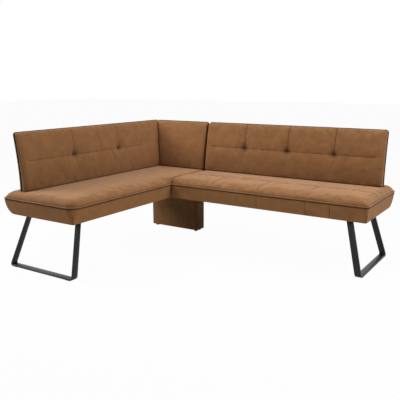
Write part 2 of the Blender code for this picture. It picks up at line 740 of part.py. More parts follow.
def back_pad(back):
    """Front pad: rolled edges, one seam along it, a seam and a sewn tuft at each tuft place."""
    inset = BACK_WELT_RADIUS / 2
    marks_u = [tuft + side * reach for tuft in back.tufts for side in (-1, 1)
               for reach in (0, SEAM_HALF_WIDTH, 2 * SEAM_HALF_WIDTH, 2 * TUFT_REACH)]
    u_range = (back.u[0] + inset, back.u[1] - inset)
    marks_u += edge_marks(*u_range, BACK_ROLL, BACK_ROLL)
    z_range = (SEAT_HEIGHT + GAP, BACK_HEIGHT - inset)
    seam_z = SEAT_HEIGHT + BACK_SEAM_RISE
    marks_z = edge_marks(*z_range, BACK_ROLL, BACK_ROLL) + BACK_LEVELS[1:-1]
    if back.tufts:
        marks_z += [seam_z + side * reach for side in (-1, 1)
                    for reach in (0, SEAM_HALF_WIDTH, 2 * SEAM_HALF_WIDTH, 2 * TUFT_REACH)]
    across = stations(*u_range, marks_u, BACK_PITCH)
    up = stations(*z_range, marks_z, BACK_RISE_PITCH)

    def rear_depth(z):
        return board_front(z) - GAP

    def sink(u, z):
        """Depth of the seams and tufts below the full pad."""
        sewn = BACK_SEAM_DEPTH * groove(z - seam_z, SEAM_HALF_WIDTH) if back.tufts else 0.0
        for tuft in back.tufts:
            above = 1.0 if z > seam_z else 0.5
            sewn = max(sewn, BACK_SEAM_DEPTH * above * groove(u - tuft, SEAM_HALF_WIDTH))
        for tuft in back.tufts:
            away = math.hypot(u - tuft, z - seam_z) / TUFT_REACH
            sewn = max(sewn, TUFT_DEPTH * math.exp(-away * away))
        return sewn

    def front(u, z):
        level = rise(u - u_range[0], BACK_ROLL) * rise(u_range[1] - u, BACK_ROLL)
        level *= rise(z_range[1] - z, BACK_ROLL) * rise(z - z_range[0] + BACK_FOOT_SIDE, BACK_ROLL)
        sewn = sink(u, z)

        def depth(at):
            thick = rear_depth(at) - back_front(at)
            side = thick * BACK_SIDE_SHARE
            return rear_depth(at) - side - (thick - side) * level + sewn * level

        return back.place(u, z, depth, inset)

    def rear(u, z):
        return back.place(u, z, rear_depth, inset)

    shape = grid_solid(across, up, front, rear, full_rear=True)
    return add_piece(back.name + "_pad", shape, FABRIC, back.unit, smooth=True)


def back_welt(back):
    """Welt up one end, along the top and down the other, between pad and cover."""
    inset = BACK_WELT_RADIUS
    foot = SEAT_HEIGHT + GAP
    top = BACK_HEIGHT - inset
    radius = BACK_CORNER - inset

    def middle(z):
        return (board_front(z) + board_rear(z)) / 2

    rises = [foot] + [level for level in BACK_LEVELS[1:] if level < top - radius - GAP]
    first = [(back.u[0] + inset, z) for z in rises]
    last = [(back.u[1] - inset, z) for z in reversed(rises)]
    bends = []
    for edge, side in ((back.u[0] + inset, -1), (back.u[1] - inset, 1)):
        bend = []
        for step in range(BACK_CORNER_STEPS + 1):
            angle = 0.5 * math.pi * step / BACK_CORNER_STEPS
            bend.append((edge - side * radius * (1 - math.cos(angle)),
                         top - radius * (1 - math.sin(angle))))
        bends.append(bend)
    if not back.round_ends[0]:
        bends[0] = [(back.u[0] + inset, top)]
    if not back.round_ends[1]:
        bends[1] = [(back.u[1] - inset, top)]
    along = [back.u[0] + CORNER_RUN] * back.follow_start
    along += [back.u[1] - CORNER_RUN] * back.follow_end
    path = first + bends[0] + [(u, top) for u in along] + bends[1][::-1] + last
    places = []
    for u, z in path:
        bare = Back(back.name, back.unit, *back.u, 0, (False, False),
                    back.follow_start, back.follow_end)
        places.append(bare.place(u, z, middle, inset))
    return add_tube(back.name + "_welt", [places], BACK_WELT_RADIUS, FABRIC, back.unit)


def bracket_solid(middle, spare):
    """Flat steel tongue let into the rear of the board, bent with it above the seat."""
    shape = bmesh.new()
    half = BRACKET_WIDTH / 2 + spare
    top = SEAT_HEIGHT + BRACKET_RISE + spare
    foot = SEAT_HEIGHT - BRACKET_DROP - spare
    levels = [foot] + [level for level in BACK_LEVELS if level < top - GAP] + [top]
    outline = [(middle - half, board_rear(z) - BRACKET_THICK - GAP - spare, z) for z in levels]
    outline += [(middle - half, board_rear(z) - GAP + spare, z) for z in reversed(levels)]
    add_prism(shape, outline, (2 * half, 0, 0))
    return close_normals(shape)


def make_back(back, below, bracket_places):
    back_pad(back)
    board = back_slab(back, "_board", (board_front, lambda z: board_rear(z) - GAP),
                      2 * BACK_WELT_RADIUS + GAP, TIMBER)
    back_slab(back, "_cover", (board_rear, back_rear), BACK_WELT_RADIUS / 2, FABRIC)
    back_welt(back)
    for number, middle in enumerate(bracket_places, 1):
        name = "%s_bracket_%d" % (back.name, number)
        add_piece(name, bracket_solid(middle, 0.0), STEEL, back.unit)
        slot = add_cutter(name + "_slot", bracket_solid(middle, HOLE_GAP), back.unit)
        cut([board] + below, slot)


# Leg frames and floor pieces

def leg_loop(front, thick, top_bar, radius):
    """Closed trapezoid in the plan of (v, z), inside the outer faces by the bar's thickness."""
    foot = RUNNER_UNDER + thick
    top = LEG_TOP - top_bar
    slope = LEG_SPREAD
    side = (BAR_THICK / 2 - thick) * math.sqrt(1 + slope * slope)

    def edge(z, rear):
        spread = (LEG_TOP - z) * slope
        return front + LEG_SPAN + spread + side if rear else front - spread - side

    lean = math.atan(slope)
    sweep = 0.5 * math.pi - lean
    reach = radius * math.tan(sweep / 2)
    centre_z = foot + radius
    points = [(edge(top, False), top)]
    for rear in (False, True):
        corner = edge(foot, rear)
        centre_v = corner - reach if rear else corner + reach
        bend = []
        for step in range(CORNER_STEPS + 1):
            angle = sweep * step / CORNER_STEPS
            bend.append((centre_v - radius * math.sin(angle), centre_z - radius * math.cos(angle)))
        if rear:
            points += [(2 * centre_v - v, z) for v, z in bend]
        else:
            points += bend[::-1]
    points.append((edge(top, True), top))
    return points


def leg_frame(name, unit, middle, front, outward, splay):
    """Bent flat bar with a top bar, leaning outwards as a whole, flat on the floor."""
    outer = leg_loop(front, 0.0, 0.0, BAR_BEND)
    inner = leg_loop(front, BAR_THICK, TOP_BAR, BAR_BEND - BAR_THICK)
    shape = bmesh.new()
    rings = []
    for loop in (outer, inner):
        verts = [shape.verts.new((middle - BAR_WIDTH / 2, v, z)) for v, z in loop]
        rings += [shape.edges.new((a, b)) for a, b in zip(verts, verts[1:] + verts[:1])]
    bmesh.ops.bridge_loops(shape, edges=rings)
    side = list(shape.faces)
    lifted = bmesh.ops.extrude_face_region(shape, geom=side)["geom"]
    moved = [item for item in lifted if isinstance(item, bmesh.types.BMVert)]
    bmesh.ops.translate(shape, verts=moved, vec=(BAR_WIDTH, 0, 0))
    for vert in shape.verts:
        vert.co.x += outward * splay * (LEG_TOP - vert.co.z)
    return add_piece(name + "_leg_frame", close_normals(shape), STEEL, unit)


def leg_glides(name, unit, middle, front, outward, splay):
    """Felt pads under the two ends of the runner."""
    centre = middle + outward * splay * (LEG_TOP - RUNNER_UNDER)
    half = BAR_WIDTH / 2 - GLIDE_MARGIN
    spread = LEG_SPREAD * (LEG_TOP - RUNNER_UNDER)
    first = front - spread + BAR_BEND
    last = front + LEG_SPAN + spread - BAR_BEND - GLIDE_LENGTH
    for end, start in (("front", first), ("rear", last)):
        shape = bmesh.new()
        add_box(shape, (centre - half, centre + half), (start, start + GLIDE_LENGTH),
                (0.0, GLIDE_THICK))
        add_piece("%s_leg_%s_glide" % (name, end), shape, FELT, unit)


def joining_plates(unit):
    """Flat steel plates that tie the long unit to the short one, under both seats."""
    middle = (JOINT - WELT_OVERHANG) / 2
    for number, place in enumerate(PLATE_PLACES, 1):
        shape = bmesh.new()
        add_box(shape, (middle - PLATE_LENGTH / 2, middle + PLATE_LENGTH / 2),
                (place - PLATE_WIDTH / 2, place + PLATE_WIDTH / 2),
                (LEG_TOP - PLATE_THICK, LEG_TOP))
        add_piece("joining_plate_%d" % number, shape, STEEL, unit)


def corner_support(unit):
    """Box of panels with a fabric cover, a base board and four gliders."""
    u_out = (-BLOCK_INSET - BLOCK_WIDTH, -BLOCK_INSET)
    v_out = (BLOCK_RAIL - BLOCK_DEPTH / 2, BLOCK_RAIL + BLOCK_DEPTH / 2)

    def inside(amount):
        return ((u_out[0] + amount, u_out[1] - amount), (v_out[0] + amount, v_out[1] - amount))

    shape = bmesh.new()
    radii = [BLOCK_CORNER] * 4
    steps = corner_steps(radii)
    loops = [rounded_loop(u_out, v_out, radii, LEG_TOP, steps),
             rounded_loop(u_out, v_out, radii, BLOCK_FOOT, steps),
             rounded_loop(*inside(BLOCK_HEM), radii, BLOCK_FOOT, steps)]
    add_rings(shape, loops)
    outward_shell(shape, "corner_support_cover", BLOCK_COVER, FABRIC, unit)

    board = inside(BLOCK_COVER + RAIL_GAP)
    base_under = BLOCK_FOOT + BLOCK_COVER + GAP
    base_top = base_under + PANEL_THICK
    box = bmesh.new()
    add_box(box, *board, (base_top + GAP, LEG_TOP - GAP))
    under = [face for face in box.faces if face.calc_center_median().z < base_top + 2 * GAP]
    bmesh.ops.delete(box, geom=under, context="FACES")
    outward_shell(box, "corner_support_box", PANEL_THICK, TIMBER, unit)
    base = bmesh.new()
    add_box(base, *board, (base_under, base_top))
    add_piece("corner_support_base", base, TIMBER, unit)

    at = inside(GLIDER_INSET)
    number = 0
    for u in at[0]:
        for v in at[1]:
            number += 1
            glider = bmesh.new()
            profile = [(0.0, 0.0), (GLIDER_RADIUS * 0.86, 0.0), (GLIDER_RADIUS, GLIDER_ROUND),
                       (GLIDER_RADIUS, base_under - GAP), (0.0, base_under - GAP)]
            add_turned(glider, profile, Matrix.Translation((u, v, 0.0)))
            add_piece("corner_glider_%d" % number, close_normals(glider), FELT, unit)


# Materials, in linear colour

clear_scene()
PIECES = make_collection("corner_bench")
CUTTERS = make_collection("cutters")
FABRIC = make_material("cognac suede fabric", (0.25, 0.125, 0.062), 0.85)
TIMBER = make_material("beech and plywood", (0.55, 0.38, 0.21), 0.6)
STEEL = make_material("black powder-coated steel", (0.012, 0.013, 0.013), 0.5, 0.0)
FELT = make_material("black felt", (0.01, 0.01, 0.01), 0.9)
WEBBING = make_material("woven webbing", (0.02, 0.02, 0.018), 0.8)

short_unit = make_unit("short_unit", math.radians(90))
corner_unit = make_unit("corner_unit", 0.0)
long_unit = make_unit("long_unit", 0.0)

# Seats

short = Seat("short", short_unit, -SHORT_WING - WELT_OVERHANG, SEAT_DEPTH,
             (SHORT_CORNER, TIP_CORNER, JOINT_CORNER, TIP_CORNER),
             WELT_OVERHANG, WELT_OVERHANG)
long = Seat("long", long_unit, JOINT, LONG_WING + WELT_OVERHANG,
            (JOINT_CORNER, LONG_CORNER, TIP_CORNER, JOINT_CORNER),
            -WELT_OVERHANG, WELT_OVERHANG)


def roll_near_joint(distance):
    """Each pad's front is rolled narrowly where the other pad presses against it."""
    share = min(1.0, max(0.0, distance / FRONT_ROLL))
    return JOINT_ROLL + (FRONT_ROLL - JOINT_ROLL) * share


short_back = Back("short_back", short_unit, SHORT_BACK_INSET - SHORT_WING,
                  DEPTH_TO_BACK + BACK_FOOT, SHORT_TUFT_COUNT, (True, False), False, True)
corner_back = Back("corner_back", corner_unit, CORNER_CLEAR - DEPTH_TO_BACK,
                   -GAP, 0, (False, True), True, False)
long_back = Back("long_back", long_unit, BACK_TO_BACK,
                 LONG_WING - LONG_BACK_INSET, LONG_TUFT_COUNT, (True, True), False, False)

short_pad = seat_pad(short, (END_ROLL, REAR_ROLL), lambda u: roll_near_joint(-u), [],
                     DEPTH_TO_BACK, [-FRONT_ROLL, -FRONT_ROLL / 2, 0.0])
long_pad = seat_pad(long, (JOINT_ROLL, END_ROLL), lambda u: roll_near_joint(u - JOINT),
                    long_back.tufts, long.u[1], [JOINT + FRONT_ROLL / 2, JOINT + FRONT_ROLL])
for seat in (short, long):
    seat_border(seat)
    seat_welt(seat)

# Frames. The rail under the corner back lines up with that back's brackets.

short_leg_middle = SHORT_LEG_INSET - SHORT_WING
long_leg_middle = LONG_WING - LONG_LEG_INSET
timber_frame(short, [-SHORT_CROSS_RAIL, CORNER_RAIL], [short_leg_middle, BLOCK_RAIL],
             RAIL_THICK + GAP)
timber_frame(long, [LONG_WING / 2], [long_leg_middle], 0.0)
webbing = {seat.name: seat_webbing(seat) for seat in (short, long)}
for seat in (short, long):
    dust_cover(seat)

# Backs with their brackets

make_back(short_back, [short_pad], [short_back.u[0] + BRACKET_INSET, BRACKET_INSET])
make_back(corner_back, [short_pad, webbing["short"]],
          [corner_back.u[0] + CORNER_BRACKET_INSET, corner_back.u[1] - CORNER_BRACKET_INSET])
make_back(long_back, [long_pad],
          [long_back.u[0] + BRACKET_INSET, long_back.u[1] - BRACKET_INSET])

# Leg frames, plates between the units and the corner support

for leg in (("short", short_unit, short_leg_middle, SHORT_LEG_FRONT, -1, SHORT_SPLAY),
            ("long", long_unit, long_leg_middle, LONG_LEG_FRONT, 1, LONG_SPLAY)):
    leg_frame(*leg)
    leg_glides(*leg)
joining_plates(corner_unit)
corner_support(corner_unit)
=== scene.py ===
# %% [markdown]
# An upholstered corner bench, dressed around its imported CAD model. The model holds the timber
# frame, the steel and a plain solid for each soft part. Here every soft part is made again as
# a sewn piece, and every surface gets its finish.

import json
import math

import bmesh
import bpy
import numpy as np
from mathutils import Matrix, Vector, noise


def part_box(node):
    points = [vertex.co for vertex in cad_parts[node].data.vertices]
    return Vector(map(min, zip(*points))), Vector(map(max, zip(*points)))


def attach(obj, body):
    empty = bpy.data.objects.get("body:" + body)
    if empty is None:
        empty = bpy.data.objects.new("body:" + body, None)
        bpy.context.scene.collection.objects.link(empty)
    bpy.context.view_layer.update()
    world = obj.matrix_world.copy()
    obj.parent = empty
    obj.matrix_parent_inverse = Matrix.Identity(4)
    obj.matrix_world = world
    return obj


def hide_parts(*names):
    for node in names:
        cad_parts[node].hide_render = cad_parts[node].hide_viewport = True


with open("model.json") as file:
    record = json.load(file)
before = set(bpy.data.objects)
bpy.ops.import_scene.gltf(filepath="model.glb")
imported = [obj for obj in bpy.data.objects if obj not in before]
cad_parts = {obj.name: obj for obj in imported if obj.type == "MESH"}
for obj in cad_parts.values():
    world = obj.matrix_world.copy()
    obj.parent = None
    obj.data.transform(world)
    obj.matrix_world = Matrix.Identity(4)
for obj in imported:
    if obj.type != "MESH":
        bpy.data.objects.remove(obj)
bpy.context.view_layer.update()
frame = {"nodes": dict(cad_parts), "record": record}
nodes = frame["nodes"]
scene = bpy.context.scene
print("pieces in the packed model:", len(nodes))

# %% [markdown]
# The picture is square, and was taken from the right, from above the height of the backs. A
# camera fitted to the traced edges of the bench gives its place, its turn and its lens. Placing
# one by eye would do for a first look, but a fitted one lets every edge be compared.

# %% Camera
CAMERA_PLACE = (1.9355, -3.052, 1.180)
CAMERA_TILT = math.radians(78.09)
CAMERA_TURN = math.radians(32.93)
CAMERA_LENS = 49.85

eye = bpy.data.cameras.new("studio_camera")
eye.lens = CAMERA_LENS
eye.sensor_width = 36.0
camera = bpy.data.objects.new("studio_camera", eye)
camera.location = CAMERA_PLACE
camera.rotation_euler = (CAMERA_TILT, 0.0, CAMERA_TURN)
scene.collection.objects.link(camera)
scene.camera = camera
scene.view_settings.view_transform = "Standard"

# %% [markdown]
# Colours are written as they look on a screen, in sRGB hex, and turned linear for the shader.
# Every node of every material is added by one function, which sets its fields and links.


# %% Colour and node helpers
def linear(hex_colour):
    """Linear RGBA from an sRGB hex colour."""
    shares = [int(hex_colour[start:start + 2], 16) / 255 for start in (1, 3, 5)]
    return tuple(s / 12.92 if s <= 0.04045 else ((s + 0.055) / 1.055) ** 2.4
                 for s in shares) + (1.0,)


def add_node(tree, kind, sockets=None, **fields):
    """Add a node, set its fields, and give its sockets a value or a link."""
    made = tree.nodes.new(kind)
    for name, value in fields.items():
        setattr(made, name, value)
    for name, value in (sockets or {}).items():
        if isinstance(value, bpy.types.NodeSocket):
            tree.links.new(value, made.inputs[name])
        else:
            made.inputs[name].default_value = value
    return made


def new_material(name):
    """An empty material, its node tree and its output node."""
    material = bpy.data.materials.new(name)
    material.use_nodes = True
    material.node_tree.nodes.clear()
    output = add_node(material.node_tree, "ShaderNodeOutputMaterial")
    return material, material.node_tree, output


# %% [markdown]
# The cover is a suede-look microfibre: a dense short nap that is brushed both ways, so it
# shows cloudy light and dark patches, and shines softly at a glancing angle. Hair particles
# would draw the nap itself, at a high cost and for nothing at this distance, so noise draws it:
# brushed patches of about 70 mm and 14 mm, and the nap at 3 mm, as coarse as it needs to show.
# Each piece carries two painted shares. The first is painted shade: it darkens seams, tufts,
# the line under the pipings, the feet of the backs and other places where shade falls. The
# second lightens edges, partly as rubbed wear and partly as a painted highlight on the seat
# pipings. The nap of the borders and of the backs' sides lies downwards, so they shine less.

# %% Suede microfibre
CLOUD_SIZE = 0.070
STROKE_SIZE = 0.014
NAP_SIZE = 0.003


def suede_microfibre(name, brushed_up, brushed_down, painted_shade_tone, sheen):
    """Suede in two brushed tones, and a third for the painted shade."""
    material, tree, output = new_material(name)
    place = add_node(tree, "ShaderNodeTexCoord").outputs["Object"]
    clouds = add_node(tree, "ShaderNodeTexNoise", {
        "Vector": place, "Scale": 1 / CLOUD_SIZE, "Detail": 3.0, "Roughness": 0.55,
        "Distortion": 0.4})
    strokes = add_node(tree, "ShaderNodeTexNoise", {
        "Vector": place, "Scale": 1 / STROKE_SIZE, "Detail": 2.0, "Roughness": 0.6})
    nap = add_node(tree, "ShaderNodeTexNoise", {
        "Vector": place, "Scale": 1 / NAP_SIZE, "Detail": 2.0, "Roughness": 0.7})
    blend = 0.0
    for pattern, share in ((clouds, 0.62), (strokes, 0.28), (nap, 0.10)):
        added = add_node(tree, "ShaderNodeMath", {
            0: pattern.outputs["Fac"], 1: share, 2: blend}, operation="MULTIPLY_ADD")
        blend = added.outputs[0]
    spread = add_node(tree, "ShaderNodeMapRange", {
        "Value": blend, "From Min": 0.36, "From Max": 0.64})
    tone = add_node(tree, "ShaderNodeMix", {
        0: spread.outputs[0], 6: linear(brushed_down), 7: linear(brushed_up)}, data_type="RGBA")
    # Lighter towards the brushed-up tone: rubbed wear on edges, and a painted highlight on the seat
    # pipings.
    wear_and_highlight = add_node(tree, "ShaderNodeAttribute", attribute_name="wear_and_highlight")
    wear_and_highlight_share = add_node(tree, "ShaderNodeMath", {0: wear_and_highlight.outputs["Fac"], 1: 0.45},
                      operation="MULTIPLY")
    tone = add_node(tree, "ShaderNodeMix", {
        0: wear_and_highlight_share.outputs[0], 6: tone.outputs[2], 7: linear(brushed_up)}, data_type="RGBA")
    # Painted shade: this share darkens the colour towards the third tone.
    painted_shade = add_node(tree, "ShaderNodeAttribute", attribute_name="painted_shade")
    tone = add_node(tree, "ShaderNodeMix", {
        0: painted_shade.outputs["Fac"], 6: tone.outputs[2], 7: linear(painted_shade_tone)}, data_type="RGBA")
    relief = add_node(tree, "ShaderNodeMath", {
        0: strokes.outputs["Fac"], 1: 0.6, 2: nap.outputs["Fac"]}, operation="MULTIPLY_ADD")
    bump = add_node(tree, "ShaderNodeBump", {
        "Height": relief.outputs[0], "Strength": 0.35, "Distance": 0.0012})
    shader = add_node(tree, "ShaderNodeBsdfPrincipled", {
        "Base Color": tone.outputs[2], "Roughness": 0.92, "IOR": 1.45,
        "Specular IOR Level": 0.25, "Sheen Weight": sheen, "Sheen Roughness": 0.45,
        "Sheen Tint": linear("#EBD2BA"), "Normal": bump.outputs[0]})
    tree.links.new(shader.outputs[0], output.inputs["Surface"])
    return material


COGNAC = ("#936740", "#835A35", "#3A200E")
DARK_BROWN = ("#4E2F1B", "#402617", "#1E1008")
suede = suede_microfibre("cognac_suede_microfibre", *COGNAC, sheen=0.48)
dark_suede = suede_microfibre("dark_brown_piping_suede", *DARK_BROWN, sheen=0.0)
border_suede = suede_microfibre("cognac_suede_border", *COGNAC, sheen=0.15)
print("suedes:", suede.name, dark_suede.name, border_suede.name)

# %% [markdown]
# The leg frames, brackets and plates are flat steel bar with a black powder coat. The coat is
# baked powder: a fine orange-peel surface of about 1.5 mm, satin rather than matt, so that
# the upper faces pick up the white room at a glancing angle. The peel is a bump and not a
# displacement, because it is shallower than a tenth of a millimetre.

# %% Black powder coat
coat, tree, output = new_material("black_powder_coated_steel")
place = add_node(tree, "ShaderNodeTexCoord").outputs["Object"]
peel = add_node(tree, "ShaderNodeTexNoise", {
    "Vector": place, "Scale": 1 / 0.0015, "Detail": 1.0})
handling = add_node(tree, "ShaderNodeTexNoise", {
    "Vector": place, "Scale": 1 / 0.045, "Detail": 3.0})
roughness = add_node(tree, "ShaderNodeMapRange", {
    "Value": handling.outputs["Fac"], "To Min": 0.30, "To Max": 0.42})
black = add_node(tree, "ShaderNodeMix", {
    0: handling.outputs["Fac"], 6: linear("#0D0E0F"), 7: linear("#151718")}, data_type="RGBA")
bump = add_node(tree, "ShaderNodeBump", {
    "Height": peel.outputs["Fac"], "Strength": 0.15, "Distance": 0.0003})
shader = add_node(tree, "ShaderNodeBsdfPrincipled", {
    "Base Color": black.outputs[2], "Roughness": roughness.outputs[0],
    "Specular IOR Level": 0.30, "Normal": bump.outputs[0]})
tree.links.new(shader.outputs[0], output.inputs["Surface"])

# %% [markdown]
# The hidden frame is planed beech, with birch plywood for the curved boards. Both show as pale
# straight grain: noise drawn out along the board, with short dark flecks between the lines.
# The grain runs along each rail. Turning a texture on every rail would need an empty for each,
# so the same finish is made once for each direction instead.


# %% Beech
def planed_beech(name, grain):
    """Beech whose grain runs along X, Y or Z of the bench."""
    material, tree, output = new_material(name)
    place = add_node(tree, "ShaderNodeTexCoord").outputs["Object"]
    drawn = [1.0, 1.0, 1.0]
    drawn["XYZ".index(grain)] = 0.04
    along = add_node(tree, "ShaderNodeMapping", {"Vector": place, "Scale": drawn})
    rings = add_node(tree, "ShaderNodeTexNoise", {
        "Vector": along.outputs[0], "Scale": 1 / 0.006, "Detail": 4.0, "Roughness": 0.6})
    flecks = add_node(tree, "ShaderNodeTexNoise", {
        "Vector": along.outputs[0], "Scale": 1 / 0.0015, "Detail": 1.0})
    light = add_node(tree, "ShaderNodeMix", {
        0: rings.outputs["Fac"], 6: linear("#B98C5E"), 7: linear("#DDBE92")}, data_type="RGBA")
    dashes = add_node(tree, "ShaderNodeMapRange", {
        "Value": flecks.outputs["Fac"], "From Min": 0.60, "From Max": 0.72, "To Max": 0.5})
    wood = add_node(tree, "ShaderNodeMix", {
        0: dashes.outputs[0], 6: light.outputs[2], 7: linear("#8E6238")}, data_type="RGBA")
    bump = add_node(tree, "ShaderNodeBump", {
        "Height": rings.outputs["Fac"], "Strength": 0.2, "Distance": 0.0004})
    shader = add_node(tree, "ShaderNodeBsdfPrincipled", {
        "Base Color": wood.outputs[2], "Roughness": 0.58, "IOR": 1.52,
        "Normal": bump.outputs[0]})
    tree.links.new(shader.outputs[0], output.inputs["Surface"])
    return material


beech = {grain: planed_beech("planed_beech_along_" + grain.lower(), grain) for grain in "XYZ"}

# %% [markdown]
# The dust covers and floor pads are needled felt: black matted fibres, almost without shine.
# A noise that is distorted by itself gives the matted look at 2 mm.

# %% Felt
felt, tree, output = new_material("needled_black_felt")
place = add_node(tree, "ShaderNodeTexCoord").outputs["Object"]
fibres = add_node(tree, "ShaderNodeTexNoise", {
    "Vector": place, "Scale": 1 / 0.002, "Detail": 4.0, "Roughness": 0.7, "Distortion": 1.5})
shade = add_node(tree, "ShaderNodeMix", {
    0: fibres.outputs["Fac"], 6: linear("#0C0C0C"), 7: linear("#242424")}, data_type="RGBA")
bump = add_node(tree, "ShaderNodeBump", {
    "Height": fibres.outputs["Fac"], "Strength": 0.5, "Distance": 0.0006})
shader = add_node(tree, "ShaderNodeBsdfPrincipled", {
    "Base Color": shade.outputs[2], "Roughness": 0.96, "Specular IOR Level": 0.2,
    "Normal": bump.outputs[0]})
tree.links.new(shader.outputs[0], output.inputs["Surface"])

# %% [markdown]
# The seat webbing is a woven elastic band. Two waves that cross each other, one rib about every
# 2.5 mm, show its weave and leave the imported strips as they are. The bands of a wave texture lie
# pi / 10 over its scale apart, or pi / 5 on the diagonal, which turns a pitch into a scale.

# %% Webbing
RIB_PITCH = 0.0024674

band, tree, output = new_material("woven_elastic_webbing")
place = add_node(tree, "ShaderNodeTexCoord").outputs["Object"]
ribs = [add_node(tree, "ShaderNodeTexWave", {
    "Vector": place, "Scale": math.pi / (10 * RIB_PITCH), "Distortion": 0.3},
    bands_direction=direction, wave_profile="SIN") for direction in "XY"]
weave = add_node(tree, "ShaderNodeMath", {
    0: ribs[0].outputs["Fac"], 1: ribs[1].outputs["Fac"]}, operation="MULTIPLY")
shade = add_node(tree, "ShaderNodeMix", {
    0: weave.outputs[0], 6: linear("#17171A"), 7: linear("#3C3B3A")}, data_type="RGBA")
bump = add_node(tree, "ShaderNodeBump", {
    "Height": weave.outputs[0], "Strength": 0.6, "Distance": 0.0008})
shader = add_node(tree, "ShaderNodeBsdfPrincipled", {
    "Base Color": shade.outputs[2], "Roughness": 0.85, "Normal": bump.outputs[0]})
tree.links.new(shader.outputs[0], output.inputs["Surface"])

# %% [markdown]
# The tufts are tied with waxed black twine, two strands laid round each other. The lay is drawn
# by a slanted wave, because modelled strands would be thinner than anything that shows.

# %% Twine
TWINE_LAY = 0.00118435

thread, tree, output = new_material("waxed_black_twine")
place = add_node(tree, "ShaderNodeTexCoord").outputs["Object"]
strands = add_node(tree, "ShaderNodeTexWave", {
    "Vector": place, "Scale": math.pi / (5 * TWINE_LAY)}, bands_direction="DIAGONAL")
shade = add_node(tree, "ShaderNodeMix", {
    0: strands.outputs["Fac"], 6: linear("#0E0A07"), 7: linear("#1E1712")}, data_type="RGBA")
shader = add_node(tree, "ShaderNodeBsdfPrincipled", {
    "Base Color": shade.outputs[2], "Roughness": 0.6})
tree.links.new(shader.outputs[0], output.inputs["Surface"])

# %% [markdown]
# Screws and staples are zinc-plated steel, a grey metal with a slightly cloudy plating. The
# clouds, about 4 mm wide, go into its colour and into its roughness.

# %% Zinc plating
zinc, tree, output = new_material("zinc_plated_steel")
place = add_node(tree, "ShaderNodeTexCoord").outputs["Object"]
plating = add_node(tree, "ShaderNodeTexNoise", {
    "Vector": place, "Scale": 1 / 0.004, "Detail": 3.0})
grey = add_node(tree, "ShaderNodeMix", {
    0: plating.outputs["Fac"], 6: linear("#8B8F92"), 7: linear("#B7BABC")}, data_type="RGBA")
roughness = add_node(tree, "ShaderNodeMapRange", {
    "Value": plating.outputs["Fac"], "To Min": 0.28, "To Max": 0.45})
shader = add_node(tree, "ShaderNodeBsdfPrincipled", {
    "Base Color": grey.outputs[2], "Metallic": 1.0, "Roughness": roughness.outputs[0]})
tree.links.new(shader.outputs[0], output.inputs["Surface"])

# %% [markdown]
# Each seat is drawn in its own plan. There u runs along the wing, v runs from the front edge to
# the rear, and both start at the inner corner of the two front edges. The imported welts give
# that corner, so a piece drawn in the plan lands on its solid. The short unit's plan is turned
# a quarter turn.

# %% Plans and heights
GAP = 0.0003
WELT_OVERHANG = 0.012
DEPTH_TO_BACK = 0.443
WELT_RADIUS = 0.004

long_low, long_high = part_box("long_seat_welt")
short_low, short_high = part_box("short_seat_welt")
CORNER = Vector((short_high.x - WELT_OVERHANG, long_low.y + WELT_OVERHANG, 0.0))
PLANS = {"long": Matrix.Translation(CORNER),
         "short": Matrix.Translation(CORNER) @ Matrix.Rotation(math.radians(90), 4, "Z")}
SEAT_DEPTH = long_high.y - CORNER.y
JOINT = long_low.x - CORNER.x
LONG_END = long_high.x - CORNER.x
SHORT_END = short_low.y - CORNER.y
WELT_HEIGHT = (long_low.z + long_high.z) / 2
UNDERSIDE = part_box("long_dust_cover")[1].z + GAP
SEAT_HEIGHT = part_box("long_back_cover")[0].z - GAP
BACK_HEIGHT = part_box("long_back_welt")[1].z
DECK = WELT_HEIGHT - WELT_RADIUS
PAD_EDGE = WELT_HEIGHT + WELT_RADIUS + GAP
PAD_INSET = 2 * WELT_RADIUS + GAP
print("seat %.3f m, backs %.3f m high" % (SEAT_HEIGHT, BACK_HEIGHT))

# %% [markdown]
# A stuffed edge rises like a quarter round, a sewn line sinks as a narrow groove, and the plan
# corners are rounded by squeezing a square corner zone into a quarter disc. A bevel would round
# them too, but these are the rules that the solids follow, so each dressed piece keeps the
# solid's place.


# %% Stuffed edges and stations
def rise(distance, width):
    """Quarter-round rise of a stuffed edge: 0 at the seam, 1 past the width."""
    share = min(1.0, max(0.0, distance / width))
    return math.sqrt(1 - (1 - share) ** 2)


def groove(distance, half_width):
    """Share of a seam's depth at a distance from its line."""
    return max(0.0, 1 - abs(distance) / (2 * half_width)) ** 2


def ease(value, low, high):
    """Smooth step from 0 at low to 1 at high."""
    share = min(1.0, max(0.0, (value - low) / (high - low)))
    return share * share * (3 - 2 * share)


def round_off(across, up, radius):
    """Move a point of a square corner zone into the quarter disc that replaces it."""
    a = max(0.0, across) / radius
    b = max(0.0, up) / radius
    return (radius * a * math.sqrt(1 - b * b / 2) if across > 0 else across,
            radius * b * math.sqrt(1 - a * a / 2) if up > 0 else up)


def stations(start, end, marks, longest, least=0.0012):
    """Sorted stations between two ends, with no stretch longer than asked."""
    kept = [start]
    for mark in sorted(mark for mark in marks if start < mark < end) + [end]:
        if mark - kept[-1] < least:
            continue
        parts = max(1, math.ceil((mark - kept[-1]) / longest))
        first = kept[-1]
        kept += [first + (mark - first) * part / parts for part in range(1, parts + 1)]
    kept[-1] = end
    return kept


def edge_marks(start, end, first_roll, last_roll):
    """Stations that follow the two rounded edges of a pad."""
    shares = (0.012, 0.05, 0.12, 0.22, 0.36, 0.55, 0.78, 1.0)
    return [start + first_roll * share for share in shares] + [
        end - last_roll * share for share in shares]


def seam_marks(places):
    """Stations on each sewn line and close to both its sides."""
    return [place + side * away for place in places for side in (-1, 1)
            for away in (0.0, 0.0015, 0.004, 0.008)]


